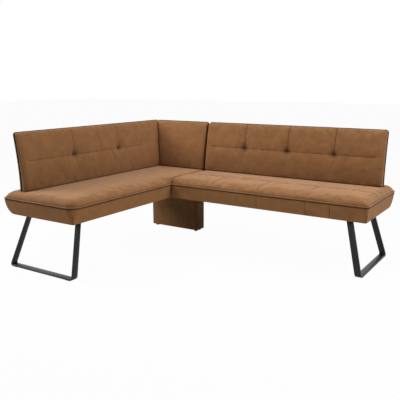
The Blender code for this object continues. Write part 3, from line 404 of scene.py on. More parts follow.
# %% [markdown]
# A sheet of cover is one grid, whose columns and rows are put on the stations, so that a row of
# points lies on every seam. A finished piece keeps its object at the origin, with its place in
# its mesh, and rides on the bench.


# %% Making pieces
def link_mesh(name, shape):
    """Turn a bmesh into a mesh object in the scene."""
    mesh = bpy.data.meshes.new(name)
    shape.to_mesh(mesh)
    shape.free()
    piece = bpy.data.objects.new(name, mesh)
    scene.collection.objects.link(piece)
    return piece


def sheet_on_stations(name, across, up, place):
    """A grid whose points lie where place puts each pair of stations."""
    grid = bmesh.new()
    bmesh.ops.create_grid(grid, x_segments=len(across) - 1, y_segments=len(up) - 1, size=1.0)
    for vert in grid.verts:
        column = round((vert.co.x + 1) / 2 * (len(across) - 1))
        row = round((vert.co.y + 1) / 2 * (len(up) - 1))
        vert.co = place(across[column], up[row])
    return link_mesh(name, grid)


def close_sheet(piece, depth, side_finish):
    """Close a sheet with a copy of it at a depth, and number the finish of all but its front."""
    body = bmesh.new()
    body.from_mesh(piece.data)
    front = set(body.faces)
    moved = bmesh.ops.extrude_face_region(body, geom=list(body.faces))["geom"]
    for vert in moved:
        if isinstance(vert, bmesh.types.BMVert):
            vert.co.y = depth(vert.co.z)
    for face in body.faces:
        face.material_index = 0 if face in front else side_finish
    bmesh.ops.recalc_face_normals(body, faces=body.faces)
    body.to_mesh(piece.data)
    body.free()


def joined(name, shapes):
    """One mesh object from several."""
    body = bmesh.new()
    for shape in shapes:
        body.from_mesh(shape.data)
        bpy.data.objects.remove(shape)
    return link_mesh(name, body)


def finish_piece(piece, plan, material, replaced=()):
    """Put a piece at its place on the bench and register it."""
    piece.data.transform(plan)
    piece.data.materials.append(material)
    piece.data.shade_smooth()
    piece.data.update()
    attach(piece, "root")
    if replaced:
        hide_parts(*replaced)
    return piece


def paint(piece, name, share):
    """Store a share from 0 to 1 at every point, for the suede to read."""
    layer = piece.data.attributes.new(name, "FLOAT", "POINT")
    layer.data.foreach_set("value", [share(vert.co) for vert in piece.data.vertices])


# %% [markdown]
# A cover is cut a little larger than the foam and pulled tight at its seams, which puffs it
# between them and leaves soft wrinkles. Cloth simulation does just that: the sheet is held
# where it is sewn and loosely by the foam elsewhere, grown by about one percent and blown up
# from behind. How far a point may move is capped, and only the shape is kept. Noise alone would
# give bumps, but not wrinkles that start at a seam.

# %% Cover simulation
SIMULATED_FRAMES = 20


def positions(mesh):
    """Places of all points, one row each."""
    flat = np.empty(len(mesh.vertices) * 3, np.float32)
    mesh.vertices.foreach_get("co", flat)
    return flat.reshape(-1, 3)


def puff(piece, hold, freedom, pressure, growth, most):
    """Simulate a cover. hold says how firmly a point is held, freedom how much it may move."""
    start = positions(piece.data)
    held = piece.vertex_groups.new(name="held")
    for vert in piece.data.vertices:
        held.add([vert.index], hold(vert.co), "REPLACE")
    cover = piece.modifiers.new("cover", "CLOTH")
    settings = cover.settings
    settings.quality = 5
    settings.mass = 0.3
    settings.tension_stiffness = 15.0
    settings.compression_stiffness = 15.0
    settings.shear_stiffness = 5.0
    settings.bending_stiffness = 6.0
    settings.vertex_group_mass = held.name
    settings.pin_stiffness = 1.0
    settings.use_pressure = True
    settings.uniform_pressure_force = pressure
    settings.shrink_min = -growth
    settings.effector_weights.gravity = 0.0
    cover.collision_settings.use_collision = False
    cover.point_cache.frame_end = SIMULATED_FRAMES
    for number in range(1, SIMULATED_FRAMES + 1):
        scene.frame_set(number)
    blown = piece.evaluated_get(bpy.context.evaluated_depsgraph_get())
    move = positions(blown.data) - start
    piece.modifiers.remove(cover)
    piece.vertex_groups.clear()
    length = np.linalg.norm(move, axis=1)
    capped = most * np.tanh(length / most)
    share = np.array([freedom(vert.co) for vert in piece.data.vertices])
    smallest = 1e-9
    move *= (capped * share / np.maximum(length, smallest))[:, None]
    piece.data.vertices.foreach_set("co", (start + move).ravel())
    print(piece.name, "moved up to %.1f mm, %.1f mm on average"
          % (1000 * length.max(), 1000 * length.mean()))


def make_finer(piece):
    """One subdivision, applied."""
    fine = piece.modifiers.new("fine", "SUBSURF")
    fine.levels = 1
    fine.render_levels = 1
    fine.boundary_smooth = "PRESERVE_CORNERS"
    shape = piece.evaluated_get(bpy.context.evaluated_depsgraph_get())
    mesh = bpy.data.meshes.new_from_object(shape)
    piece.modifiers.remove(fine)
    piece.data = mesh


# %% [markdown]
# The seat pads are foam under a sewn cover. Both have a broad rounded front, a narrow one where
# the two pads press together, and a slight crown in the sitting area. Only the long pad is sewn
# through: one seam runs along it, and three run from the front edge back to that seam. A subdivided
# cage could give the crown, but a grid in the plan puts each seam where it was traced.

# %% Seat plans
FRONT_ROLL = 0.065
END_ROLL = 0.050
REAR_ROLL = 0.062
JOINT_ROLL = 0.012
PAD_CROWN = 0.005
CROWN_FADE = 0.200
SEAT_SEAM = 0.220
SEAM_DEPTH = 0.0045
SEAM_HALF_WIDTH = 0.011
BACK_FOOT = 0.062
BACK_FROM_END = 0.037
BACKS_APART = 0.006


class Seat:
    """Plan of one seat: its ends, plan corners, rolled ends, sewn lines and backs."""

    def __init__(self, name, ends, radii, end_rolls, from_joint, crown_end, seams, covered):
        self.name = name
        self.plan = PLANS[name]
        self.u = ends
        self.v = (-WELT_OVERHANG, SEAT_DEPTH)
        self.radii = radii
        self.end_rolls = end_rolls
        self.from_joint = from_joint
        self.crown_end = crown_end
        self.seams = seams
        self.covered = covered

    def inset(self, amount):
        """Ends, sides and corner radii of the plan, drawn in by an amount."""
        return ((self.u[0] + amount, self.u[1] - amount),
                (self.v[0] + amount, self.v[1] - amount),
                [max(radius - amount, 0.001) for radius in self.radii])

    def round_plan(self, u, v, amount):
        """Round the four plan corners of a point drawn on straight stations."""
        us, vs, radii = self.inset(amount)
        right = u > sum(us) / 2
        rear = v > sum(vs) / 2
        radius = radii[(3, 2)[right]] if rear else radii[(0, 1)[right]]
        side_u = 1 if right else -1
        side_v = 1 if rear else -1
        start_u = us[right] - side_u * radius
        start_v = vs[rear] - side_v * radius
        across = side_u * (u - start_u)
        up = side_v * (v - start_v)
        if across <= 0 or up <= 0:
            return u, v
        across, up = round_off(across, up, radius)
        return start_u + side_u * across, start_v + side_v * up

    def level(self, u, v):
        """Share of the full stuffing at a place of the plan."""
        us, vs, _ = self.inset(PAD_INSET)
        near = min(1.0, max(0.0, self.from_joint(u) / FRONT_ROLL))
        front = JOINT_ROLL + (FRONT_ROLL - JOINT_ROLL) * near
        return (rise(u - us[0], self.end_rolls[0]) * rise(us[1] - u, self.end_rolls[1])
                * rise(v - vs[0], front) * rise(vs[1] - v, REAR_ROLL))

    def top(self, u, v):
        """Place of the pad's surface over a station of the plan."""
        level = self.level(u, v)
        in_seat = min(1.0, max(0.0, v / DEPTH_TO_BACK))
        fade = min(1.0, max(0.0, (self.crown_end - u) / CROWN_FADE))
        height = PAD_EDGE + (SEAT_HEIGHT - PAD_EDGE) * level
        height += PAD_CROWN * math.sin(math.pi * in_seat) * fade * level ** 2
        return (*self.round_plan(u, v, PAD_INSET), height)

    def from_backs(self, u, v):
        """Distance in plan to the nearest back."""
        return min(math.hypot(max(us[0] - u, 0.0, u - us[1]), max(vs[0] - v, 0.0, v - vs[1]))
                   for us, vs in self.covered)

    def clear_of_backs(self, u, v):
        """0 under a back, 1 well clear of all of them."""
        return ease(self.from_backs(u, v), 0.004, 0.050)

    def sewn(self, u, v):
        """Nearness to a sewn line, 1 on it."""
        if not self.seams:
            return 0.0
        return max([groove(v - SEAT_SEAM, SEAM_HALF_WIDTH)]
                   + [groove(u - seam, SEAM_HALF_WIDTH) * ease(v, -0.004, 0.012)
                      * (1 - ease(v, SEAT_SEAM, SEAT_SEAM + 0.02)) for seam in self.seams])


def even_places(start, end, count):
    """Places that share a stretch evenly, as the tufts of a back do."""
    return [start + (end - start) * (n + 1) / (count + 1) for n in range(count)]


SHORT_BACK_START = SHORT_END + WELT_OVERHANG + BACK_FROM_END
LONG_BACK = (BACKS_APART, LONG_END - WELT_OVERHANG - BACK_FROM_END)
LONG_TUFTS = even_places(*LONG_BACK, 3)
SHORT_TUFTS = even_places(SHORT_BACK_START, DEPTH_TO_BACK, 2)
SHORT_CORNERS = (0.070, 0.010, 0.009, 0.010)
LONG_CORNERS = (0.009, 0.024, 0.010, 0.009)
behind = (DEPTH_TO_BACK, DEPTH_TO_BACK + BACK_FOOT)
short_seat = Seat("short", (SHORT_END, SEAT_DEPTH), SHORT_CORNERS,
                  (END_ROLL, REAR_ROLL), lambda u: -u, DEPTH_TO_BACK, [],
                  [((SHORT_BACK_START, behind[1]), behind), (behind, (0.0, behind[1]))])
long_seat = Seat("long", (JOINT, LONG_END), LONG_CORNERS,
                 (JOINT_ROLL, END_ROLL), lambda u: u - JOINT, LONG_END, LONG_TUFTS,
                 [(LONG_BACK, behind)])
print("long tufts at", [round(u, 3) for u in LONG_TUFTS])


# %% [markdown]
# Each seat cover goes through the same steps: a sheet on the stuffed shape, the simulation, then
# the seams are sunk and small puckers laid along them. Gathers are added in the rolled edges,
# where the cover is drawn over the foam. Both are finer than the cloth's grid can fold by itself.

# %% Seat pads
SEAT_CLOTH_PITCH = 0.0095
FOAM_BUMP = 0.0012
SEWN_RIM = 0.003
SEAT_PUCKER = 0.0010
SEAT_GATHER = 0.0042


def uneven(place, size, seed):
    """Smooth noise between -1 and 1 with bumps of about the given size."""
    return noise.noise(Vector(place) / size + Vector((seed, 0.0, 0.0)))


def edge_gathers(along, across, near_long_edge, seed):
    """Small puckers that run away from the nearest sewn edge."""
    short, long = 0.020, 0.070
    scale = (short, long) if near_long_edge else (long, short)
    return noise.noise(Vector((along / scale[0], across / scale[1], seed)))


def seat_sheet(seat):
    """The cover of a seat pad on its stuffed shape."""
    us, vs, _ = seat.inset(PAD_INSET)
    joint_marks = [us[0] + 0.03, us[0] + 0.06] if seat.name == "long" else [-0.065, -0.03, 0.0]
    across = stations(*us, edge_marks(*us, *seat.end_rolls) + seam_marks(seat.seams)
                      + joint_marks, SEAT_CLOTH_PITCH)
    length_seam = seam_marks([SEAT_SEAM]) if seat.seams else []
    up = stations(*vs, edge_marks(*vs, FRONT_ROLL, REAR_ROLL) + length_seam, SEAT_CLOTH_PITCH)

    def stuffed(u, v):
        x, y, height = seat.top(u, v)
        loose = seat.level(u, v) * seat.clear_of_backs(u, v)
        return x, y, height + FOAM_BUMP * loose * uneven((u, v, 0.0), 0.035, 3.0)

    return sheet_on_stations(seat.name + "_seat_cushion", across, up, stuffed)


def blow_seat(piece, seat):
    us, vs, _ = seat.inset(PAD_INSET)

    def hold(co):
        from_rim = min(co.x - us[0], us[1] - co.x, co.y - vs[0], vs[1] - co.y)
        if from_rim < SEWN_RIM or seat.clear_of_backs(co.x, co.y) < 0.02:
            return 1.0
        return 0.10 + 0.85 * seat.sewn(co.x, co.y)

    def freedom(co):
        calm_end = ease(min(co.x - us[0], us[1] - co.x), 0.015, 0.110)
        return seat.clear_of_backs(co.x, co.y) * (0.25 + 0.75 * calm_end)

    puff(piece, hold, freedom, pressure=2.0, growth=0.012, most=0.005)


def sew_seat(piece, seat):
    """Sink the seams, lay puckers along them, and gather the rolled edges."""
    us, vs, _ = seat.inset(PAD_INSET)
    for vert in piece.data.vertices:
        u, v, _ = vert.co
        level = seat.level(u, v)
        sewn = seat.sewn(u, v)
        loose = seat.clear_of_backs(u, v)
        vert.co.z -= SEAM_DEPTH * sewn * level
        pucker = sewn ** 0.4 * uneven((u, v, 0.0), 0.011, 11.0)
        rolled = ease(1 - level, 0.02, 0.4) * (1 - ease(1 - level, 0.75, 1.0))
        near_front = min(v - vs[0], vs[1] - v) < min(u - us[0], us[1] - u)
        gather = rolled * edge_gathers(u, v, near_front, 5.0) * (0.6 + 0.4 * near_front)
        vert.co.z += (SEAT_PUCKER * pucker + SEAT_GATHER * gather) * loose


def close_seat(piece):
    """Take the rim straight down to the deck and close the underside with one face."""
    body = bmesh.new()
    body.from_mesh(piece.data)
    rim = [edge for edge in body.edges if edge.is_boundary]
    moved = bmesh.ops.extrude_edge_only(body, edges=rim)["geom"]
    for vert in moved:
        if isinstance(vert, bmesh.types.BMVert):
            vert.co.z = DECK + GAP
    last = [edge for edge in body.edges if edge.is_boundary]
    bmesh.ops.edgeloop_fill(body, edges=last)
    bmesh.ops.recalc_face_normals(body, faces=body.faces)
    body.to_mesh(piece.data)
    body.free()


def seat_cushion(seat):
    piece = seat_sheet(seat)
    blow_seat(piece, seat)
    make_finer(piece)
    sew_seat(piece, seat)
    close_seat(piece)
    # Painted shade in the seams, in a line at the rim beside the piping, and where the seat meets
    # the backs. The rolled edges are lighter, partly rubbed wear and partly painted highlight.
    paint(piece, "painted_shade", lambda co: max(
        0.75 * ease(seat.sewn(co.x, co.y), 0.50, 1.0) * ease(seat.level(co.x, co.y), 0.1, 0.5),
        0.55 * (1 - ease(co.z, PAD_EDGE - 0.001, PAD_EDGE + 0.006)),
        0.75 * (1 - ease(seat.from_backs(co.x, co.y), 0.0, 0.014))))
    paint(piece, "wear_and_highlight", lambda co: ease(1 - seat.level(co.x, co.y), 0.05, 0.5) * 0.6)
    finish_piece(piece, seat.plan, suede, [seat.name + "_seat_pad"])
    return piece


seat_cushions = [seat_cushion(seat) for seat in (short_seat, long_seat)]
print("seat pads:", [len(piece.data.polygons) for piece in seat_cushions], "faces")

# %% [markdown]
# Piping is a cord wrapped in suede and sewn into the joint of two covers. It is drawn as a curve
# with a round bevel, whose radius swells and shrinks slightly from stitch to stitch, and turned
# into a mesh. Its path is a rounded rectangle, walked side by side, because the border below
# needs the same walk with seams at chosen places.

# %% Piping
PIPING_PITCH = 0.008
CORNER_FADE = 0.120
SAME_PLACE = 0.00001


def cord(name, places, radius, closed):
    """A slightly uneven round cord through the given places."""
    curve = bpy.data.curves.new(name, "CURVE")
    curve.dimensions = "3D"
    curve.bevel_depth = radius
    curve.bevel_resolution = 2
    curve.use_fill_caps = not closed
    spline = curve.splines.new("POLY")
    spline.points.add(len(places) - 1)
    for point, place in zip(spline.points, places):
        point.co = (*place, 1.0)
        point.radius = 1 + 0.06 * uneven(place, 0.009, 7.0)
    spline.use_cyclic_u = closed
    holder = bpy.data.objects.new(name + "_path", curve)
    mesh = bpy.data.meshes.new_from_object(holder)
    bpy.data.objects.remove(holder)
    body = bmesh.new()
    body.from_mesh(mesh)
    bmesh.ops.remove_doubles(body, verts=body.verts, dist=SAME_PLACE)
    bmesh.ops.recalc_face_normals(body, faces=body.faces)
    return link_mesh(name, body)


def straight_spans(us, vs, radii):
    """Start and end of each straight side of a rounded rectangle, in walking order."""
    front_left, front_right, rear_right, rear_left = radii
    return [(us[0] + front_left, us[1] - front_right), (vs[0] + front_right, vs[1] - rear_right),
            (us[1] - rear_right, us[0] + rear_left), (vs[1] - rear_left, vs[0] + front_left)]


def ring(us, vs, radii, height, turns, sides):
    """Rounded rectangle, anticlockwise from the front left corner.

    turns gives the steps in each corner. Each side has its first span and its stations in
    it. A station keeps its place when the span changes, unless it is near a corner.
    """
    front_left, front_right, rear_right, rear_left = radii
    corners = ((us[0] + front_left, vs[0] + front_left, front_left, math.pi),
               (us[1] - front_right, vs[0] + front_right, front_right, 1.5 * math.pi),
               (us[1] - rear_right, vs[1] - rear_right, rear_right, 0.0),
               (us[0] + rear_left, vs[1] - rear_left, rear_left, 0.5 * math.pi))
    arcs = [[Vector((u + radius * math.cos(start + 0.5 * math.pi * step / turns),
                     v + radius * math.sin(start + 0.5 * math.pi * step / turns), height))
             for step in range(turns + 1)] for u, v, radius, start in corners]
    spans = straight_spans(us, vs, radii)
    points = []
    for number, arc in enumerate(arcs):
        points += arc
        following = arcs[(number + 1) % 4][0]
        first, last = sides[number][0]
        start, end = spans[number]
        for station in sides[number][1]:
            near_start = max(0.0, 1 - abs(station - first) / CORNER_FADE)
            near_end = max(0.0, 1 - abs(last - station) / CORNER_FADE)
            place = station + (start - first) * near_start + (end - last) * near_end
            share = (place - start) / (end - start)
            points.append(arc[-1].lerp(following, share))
    return points


def even_sides(us, vs, radii, pitch, marks=((), (), (), ())):
    """Even stations for the four sides, with any marks added."""
    sides = []
    for span, wanted in zip(straight_spans(us, vs, radii), marks):
        first, last = span
        way = math.copysign(1.0, last - first)
        inner = stations(0.0, abs(last - first), [way * (mark - first) for mark in wanted], pitch)
        sides.append((span, [first + way * place for place in inner[1:-1]]))
    return sides


def seat_piping(seat):
    us, vs, radii = seat.inset(WELT_RADIUS)
    sides = even_sides(us, vs, radii, PIPING_PITCH)
    places = ring(us, vs, radii, WELT_HEIGHT, 10, sides)
    for place in places:
        place.z += 0.0006 * uneven(place, 0.05, 2.0)
    piece = cord(seat.name + "_seat_piping", places, WELT_RADIUS, True)
    # The whole seat piping is painted lighter: a painted highlight along the cord, with rubbed
    # wear.
    paint(piece, "wear_and_highlight", lambda co: 0.7)
    return finish_piece(piece, seat.plan, suede, [seat.name + "_seat_welt"])


pipings = [seat_piping(seat) for seat in (short_seat, long_seat)]
print("seat pipings:", [len(piece.data.polygons) for piece in pipings], "faces")

# %% [markdown]
# The border is the sewn strip around the seat frame. It is tucked in under the piping, slants
# in at the front and the ends, rounds under at the rear, and is turned in below as a
# stapled hem. A bevelled block could stand for it, but its four sides differ, so it is lofted
# from rings, each ring extruded from the one before, and given a cloth's thickness. Its upright
# seams are listed by side and place.

# %% Borders
BORDER_TUCK = 0.003
BORDER_LIP = 0.004
BORDER_HEM = 0.016
BORDER_PITCH = 0.012
BORDER_STEPS = 16
LIP_RINGS = ((0.0012, 0.0022), (0.0045, 0.0))
REAR_ARC = 0.075
FOOT_CORNER = 0.012
FABRIC_THICK = 0.0028
BORDER_TOP = DECK - GAP
BORDER_SEAMS = {"long": [(0, 0.706), (0, 1.055), (0, 1.215), (1, 0.300)], "short": []}


def loft(rings):
    """Open surface from ring to ring, with its front facing out."""
    surface = bmesh.new()
    order = surface.verts.layers.int.new("order")
    first = [surface.verts.new(place) for place in rings[0]]
    for number, vert in enumerate(first):
        vert[order] = number
    edges = [surface.edges.new(pair) for pair in zip(first, first[1:] + first[:1])]
    for places in rings[1:]:
        moved = bmesh.ops.extrude_edge_only(surface, edges=edges)["geom"]
        for vert in moved:
            if isinstance(vert, bmesh.types.BMVert):
                vert.co = places[vert[order]]
        edges = [edge for edge in moved if isinstance(edge, bmesh.types.BMEdge)
                 and all(vert in moved for vert in edge.verts)]
    bmesh.ops.recalc_face_normals(surface, faces=surface.faces)
    front = min(surface.faces, key=lambda face: face.calc_center_median().y)
    if front.normal.y > 0:
        bmesh.ops.reverse_faces(surface, faces=surface.faces)
    return surface


def give_thickness(piece):
    """Cloth's thickness inwards. The clamp keeps narrow faces from folding over."""
    wall = piece.modifiers.new("cloth_thickness", "SOLIDIFY")
    wall.thickness = FABRIC_THICK
    wall.offset = -1.0
    wall.thickness_clamp = 1.0


def border_hangs(seat):
    """How far the foot of the border lies inside its two ends. At the joint it widens."""
    return (-WELT_OVERHANG if seat.name == "long" else WELT_OVERHANG, WELT_OVERHANG)


def border_rings(seat):
    """Rings from the tucked lip, down the slanted and rounded sides, to the hem."""
    marks = [seam_marks([place for side, place in BORDER_SEAMS[seat.name] if side == number])
             for number in range(4)]
    sides = even_sides(*seat.inset(BORDER_TUCK), BORDER_PITCH, marks)
    hangs = border_hangs(seat)
    drop = BORDER_TOP - UNDERSIDE
    rings = []
    for step in range(BORDER_STEPS + 1):
        angle = 0.5 * math.pi * step / BORDER_STEPS
        share = math.sin(angle)
        slant = BORDER_TUCK + (WELT_OVERHANG - BORDER_TUCK) * share
        ends = [BORDER_TUCK + (hang - BORDER_TUCK) * share for hang in hangs]
        rear = SEAT_DEPTH - BORDER_TUCK - (REAR_ARC - BORDER_TUCK) * (1 - math.cos(angle))
        radii = [max(0.001, radius - BORDER_TUCK) * (1 - share) + FOOT_CORNER * share
                 for radius in seat.radii]
        rings.append(ring((seat.u[0] + ends[0], seat.u[1] - ends[1]),
                          (seat.v[0] + slant, rear), radii,
                          BORDER_TOP - BORDER_LIP - (drop - BORDER_LIP) * share, 8, sides))
    middle = Vector((sum(seat.u) / 2, SEAT_DEPTH / 2, 0.0))
    for inset, down in LIP_RINGS:
        lip = [place.copy() for place in rings[0]]
        for place in lip:
            place.x += math.copysign(inset, middle.x - place.x)
            place.y += math.copysign(inset, middle.y - place.y)
            place.z = BORDER_TOP - down
        rings.insert(0, lip)
    us = (seat.u[0] + hangs[0] + BORDER_HEM, seat.u[1] - hangs[1] - BORDER_HEM)
    vs = (BORDER_HEM, SEAT_DEPTH - REAR_ARC - BORDER_HEM)
    rings.append(ring(us, vs, [FOOT_CORNER / 2] * 4, UNDERSIDE, 8, sides))
    return rings


def upright_seam(seat, co):
    """Nearness to one of the border's upright seams."""
    share = 0.0
    for side, place in BORDER_SEAMS[seat.name]:
        along = co.x if side in (0, 2) else co.y
        on_side = (co.y < 0.02, co.x > seat.u[1] - 0.03, co.y > 0.5,
                   co.x < seat.u[0] + 0.03)[side]
        if on_side:
            share = max(share, groove(along - place, 0.003))
    return share


def corner_seam(seat, co):
    """Nearness to the sewn front corners, from the hem to half the height."""
    share = 0.0
    hangs = border_hangs(seat)
    for corner in (seat.u[0] + hangs[0], seat.u[1] - hangs[1]):
        beside = abs(abs(co.x - corner) - abs(co.y))
        if abs(co.x - corner) < 0.05 and co.y < 0.05:
            share = 1 - ease(beside, 0.001, 0.004)
    return share * (1 - ease(co.z, UNDERSIDE + 0.030, UNDERSIDE + 0.055))


def seat_border(seat):
    rings = border_rings(seat)
    middle = sum(seat.u) / 2
    half = (seat.u[1] - seat.u[0]) / 2
    for places in rings[2:-1]:
        for place in places:
            level = ease(place.z, UNDERSIDE, UNDERSIDE + 0.02)
            wave = 0.0007 * level * uneven(place, 0.045, 9.0)
            inward = 0.0016 * upright_seam(seat, place) - wave
            if place.y < 0.02:
                place.y += inward
            elif abs(place.x - middle) > half - 0.03:
                place.x += math.copysign(inward, middle - place.x)
    piece = link_mesh(seat.name + "_seat_border_cover", loft(rings))
    # Painted shade: the shadow under the piping, and shade in the upright seams and the sewn front
    # corners. The lower edge of the hem is lighter as rubbed wear.
    paint(piece, "painted_shade", lambda co: max(
        0.85 * ease(co.z, BORDER_TOP - 0.011, BORDER_TOP - 0.002),
        0.7 * ease(upright_seam(seat, co), 0.2, 0.9),
        0.6 * corner_seam(seat, co)))
    paint(piece, "wear_and_highlight", lambda co: 0.5 * (1 - ease(co.z, UNDERSIDE, UNDERSIDE + 0.006)))
    give_thickness(piece)
    return finish_piece(piece, seat.plan, border_suede,
                        [seat.name + "_seat_border"])


borders = [seat_border(seat) for seat in (short_seat, long_seat)]
print("borders:", [len(piece.data.polygons) for piece in borders], "faces")

# %% [markdown]
# The backs lean away from the seat in a shallow curve and get thinner towards the top. Each has
# a front pad, a rear cover and a dark piping between them. Where a back ends at the inner
# corner, its end follows the lean of its neighbour. A box could be bent by a lattice, but a few
# functions of height say the same and give every layer its own depth.

# %% Back plans
BACK_LEAN = 0.0645
LEAN_POWER = 1.5
BACK_HEAD = 0.038
BACK_COVER = 0.008
BACK_BOARD = 0.012
BACK_WELT_RADIUS = 0.0035
BACK_PAD_INSET = 0.0042
BACK_CORNER = 0.022
BACK_ROLL = 0.030
BACK_SIDE_SHARE = 0.55
BACK_FOOT_SIDE = 0.010
BACK_SEAM_RISE = 0.190
BACK_SEAM_DEPTH = 0.0042
CORNER_RUN = 0.200
TUFT_DEPTH = 0.013
TUFT_REACH = 0.034
TUFT_RISE = 0.042
TUFT_FALL = 0.024
SLOT_HALF_LENGTH = 0.021
SLOT_HALF_HEIGHT = 0.0058
SEAM_Z = SEAT_HEIGHT + BACK_SEAM_RISE


def height_share(z):
    return min(1.0, max(0.0, (z - SEAT_HEIGHT) / (BACK_HEIGHT - SEAT_HEIGHT)))


def back_front(z):
    return DEPTH_TO_BACK + BACK_LEAN * height_share(z) ** LEAN_POWER


def back_rear(z):
    return back_front(z) + BACK_FOOT + (BACK_HEAD - BACK_FOOT) * height_share(z)


def board_rear(z):
    return back_rear(z) - BACK_COVER


def board_front(z):
    return board_rear(z) - BACK_BOARD


def pad_rear(z):
    return board_front(z) - GAP


class Back:
    """One back: its ends, its tufts, and how a corner end follows its neighbour."""

    def __init__(self, name, plan, ends, tufts, round_ends, follow_start, follow_end, seam,
                 strength):
        self.name = name
        self.plan = PLANS[plan]
        self.u = ends
        self.tufts = tufts
        self.round_ends = round_ends
        self.follow_start = follow_start
        self.follow_end = follow_end
        self.seam = seam
        self.strength = strength
        self.rim_u = (ends[0] + BACK_PAD_INSET, ends[1] - BACK_PAD_INSET)
        self.rim_z = (SEAT_HEIGHT + GAP, BACK_HEIGHT - BACK_PAD_INSET)

    def place(self, u, z, depth, inset):
        """Round the top corners, then shift the corner end with its neighbour's lean."""
        top = BACK_HEIGHT - inset
        radius = BACK_CORNER - inset
        for side, rounded in zip((-1, 1), self.round_ends):
            edge = self.u[0] + inset if side < 0 else self.u[1] - inset
            across = side * (u - edge) + radius
            up = z - top + radius
            if rounded and across > 0 and up > 0:
                across, up = round_off(across, up, radius)
                u = edge + side * (across - radius)
                z = top - radius + up
        return (u + self.shift(u, z), depth(z), z)

    def shift(self, u, z):
        """How far a point moves along with the lean of the back beside it."""
        moved = 0.0
        if self.follow_start:
            near = max(0.0, 1 - (u - self.u[0]) / CORNER_RUN)
            moved -= near * (back_front(z) - DEPTH_TO_BACK)
        if self.follow_end:
            near = max(0.0, 1 - (self.u[1] - u) / CORNER_RUN)
            moved += near * (back_rear(z) - DEPTH_TO_BACK - BACK_FOOT)
        return moved

    def flat_u(self, co):
        """Station of a point before its corner end was shifted."""
        return co.x - self.shift(co.x, co.z)

    def from_rim(self, co):
        us, zs = self.rim_u, self.rim_z
        u = self.flat_u(co)
        return min(u - us[0], us[1] - u, co.z - zs[0], zs[1] - co.z)

    def level(self, u, z):
        """Share of the full stuffing at a place of the pad."""
        us, zs = self.rim_u, self.rim_z
        return (rise(u - us[0], BACK_ROLL) * rise(us[1] - u, BACK_ROLL)
                * rise(zs[1] - z, BACK_ROLL) * rise(z - zs[0] + BACK_FOOT_SIDE, BACK_ROLL))

    def seam_lines(self, u, z, half_width=0.010):
        """Nearness to a sewn line: strong above each tuft, faint below it, thin along."""
        if not self.tufts:
            return 0.0
        along = ease(u, self.seam[0], self.seam[0] + 0.03)
        along *= 1 - ease(u, self.seam[1] - 0.03, self.seam[1])
        share = 0.6 * along * groove(z - SEAM_Z, half_width * 0.7)
        for tuft in self.tufts:
            above = 1.0 if z > SEAM_Z else 0.5 * (1 - ease(SEAM_Z - z, 0.04, 0.13))
            share = max(share, self.strength * above * groove(u - tuft, half_width))
        return share

    def tuft_slot(self, u, z):
        """Nearness to the short level slot that a tuft's tie pulls in."""
        if not self.tufts:
            return 0.0
        up = (z - SEAM_Z) / SLOT_HALF_HEIGHT
        return max(math.exp(-((u - tuft) / SLOT_HALF_LENGTH) ** 2 - up ** 2)
                   for tuft in self.tufts)

    def tuft_pull(self, u, z):
        """Share of a tuft's depth: a dimple that is longer upwards, with the slot in it."""
        if not self.tufts:
            return 0.0
        up = (z - SEAM_Z) / (TUFT_RISE if z > SEAM_Z else TUFT_FALL)
        dimple = max(math.exp(-((u - tuft) / TUFT_REACH) ** 2 - up * up) for tuft in self.tufts)
        return 1.15 * dimple + 0.50 * self.tuft_slot(u, z)

    def soft_pull(self, u, z):
        """Wide shallow hollow along the seams, which leaves a pillow between them."""
        if not self.tufts:
            return 0.0
        above = ease(z, SEAM_Z - 0.10, SEAM_Z)
        upright = max(math.exp(-((u - tuft) / 0.040) ** 2) for tuft in self.tufts)
        level = math.exp(-((z - SEAM_Z) / 0.035) ** 2)
        return max(self.strength * above * upright, 0.7 * level)


short_back = Back("short_back", "short", (SHORT_BACK_START, DEPTH_TO_BACK + BACK_FOOT),
                  SHORT_TUFTS, (True, False), False, True, (SHORT_BACK_START + 0.035, 0.26),
                  0.45)
corner_back = Back("corner_back", "long", (0.0015 - DEPTH_TO_BACK, -GAP), [],
                   (False, True), True, False, (0.0, 0.0), 0.0)
long_back = Back("long_back", "long", LONG_BACK, LONG_TUFTS, (True, True), False, False,
                 (LONG_BACK[0] + 0.04, LONG_BACK[1] - 0.045), 0.85)
backs = (short_back, corner_back, long_back)
print("backs:", [back.name for back in backs])

# %% [markdown]
# The back pads are made like the seat pads. Each sheet is held at its rim, its seams and its
# tufts while it is blown up, so that it strains between them. After that the tuft slots and
# seams are pulled in, and small puckers are laid along them. A doubled thread lies in each slot,
# and the sheet gets its rear.

# %% Back pads
BACK_CLOTH_PITCH = 0.0095
SOFT_SWELL = 0.0035
TOP_NOTCH = 0.0022
BACK_PUCKER = 0.0007
TUFT_FAN = 0.0026
BACK_GATHER = 0.0024
TIE_HALF_LENGTH = 0.009
TIE_RADIUS = 0.0005
STRAND_FROM_MIDDLE = 0.0008


def back_sheet(back):
    """The front cover of a back on its stuffed shape."""
    us, zs = back.rim_u, back.rim_z
    tuft_marks = [tuft + side * away for tuft in back.tufts for side in (-1, 1)
                  for away in (0.012, 0.016, 0.022, 0.034)]
    across = stations(*us, edge_marks(*us, BACK_ROLL, BACK_ROLL) + seam_marks(back.tufts)
                      + tuft_marks, BACK_CLOTH_PITCH)
    along = seam_marks([SEAM_Z]) if back.tufts else []
    up = stations(*zs, edge_marks(*zs, BACK_ROLL, BACK_ROLL) + along, BACK_CLOTH_PITCH)

    def stuffed(u, z):
        full = back.level(u, z)
        bumpy = FOAM_BUMP * full * uneven((u, 0.0, z), 0.035, 21.0)

        def depth(at):
            thick = pad_rear(at) - back_front(at)
            side = thick * BACK_SIDE_SHARE
            return pad_rear(at) - side - (thick - side) * full + bumpy

        return back.place(u, z, depth, BACK_PAD_INSET)

    return sheet_on_stations(back.name + "_cushion", across, up, stuffed)


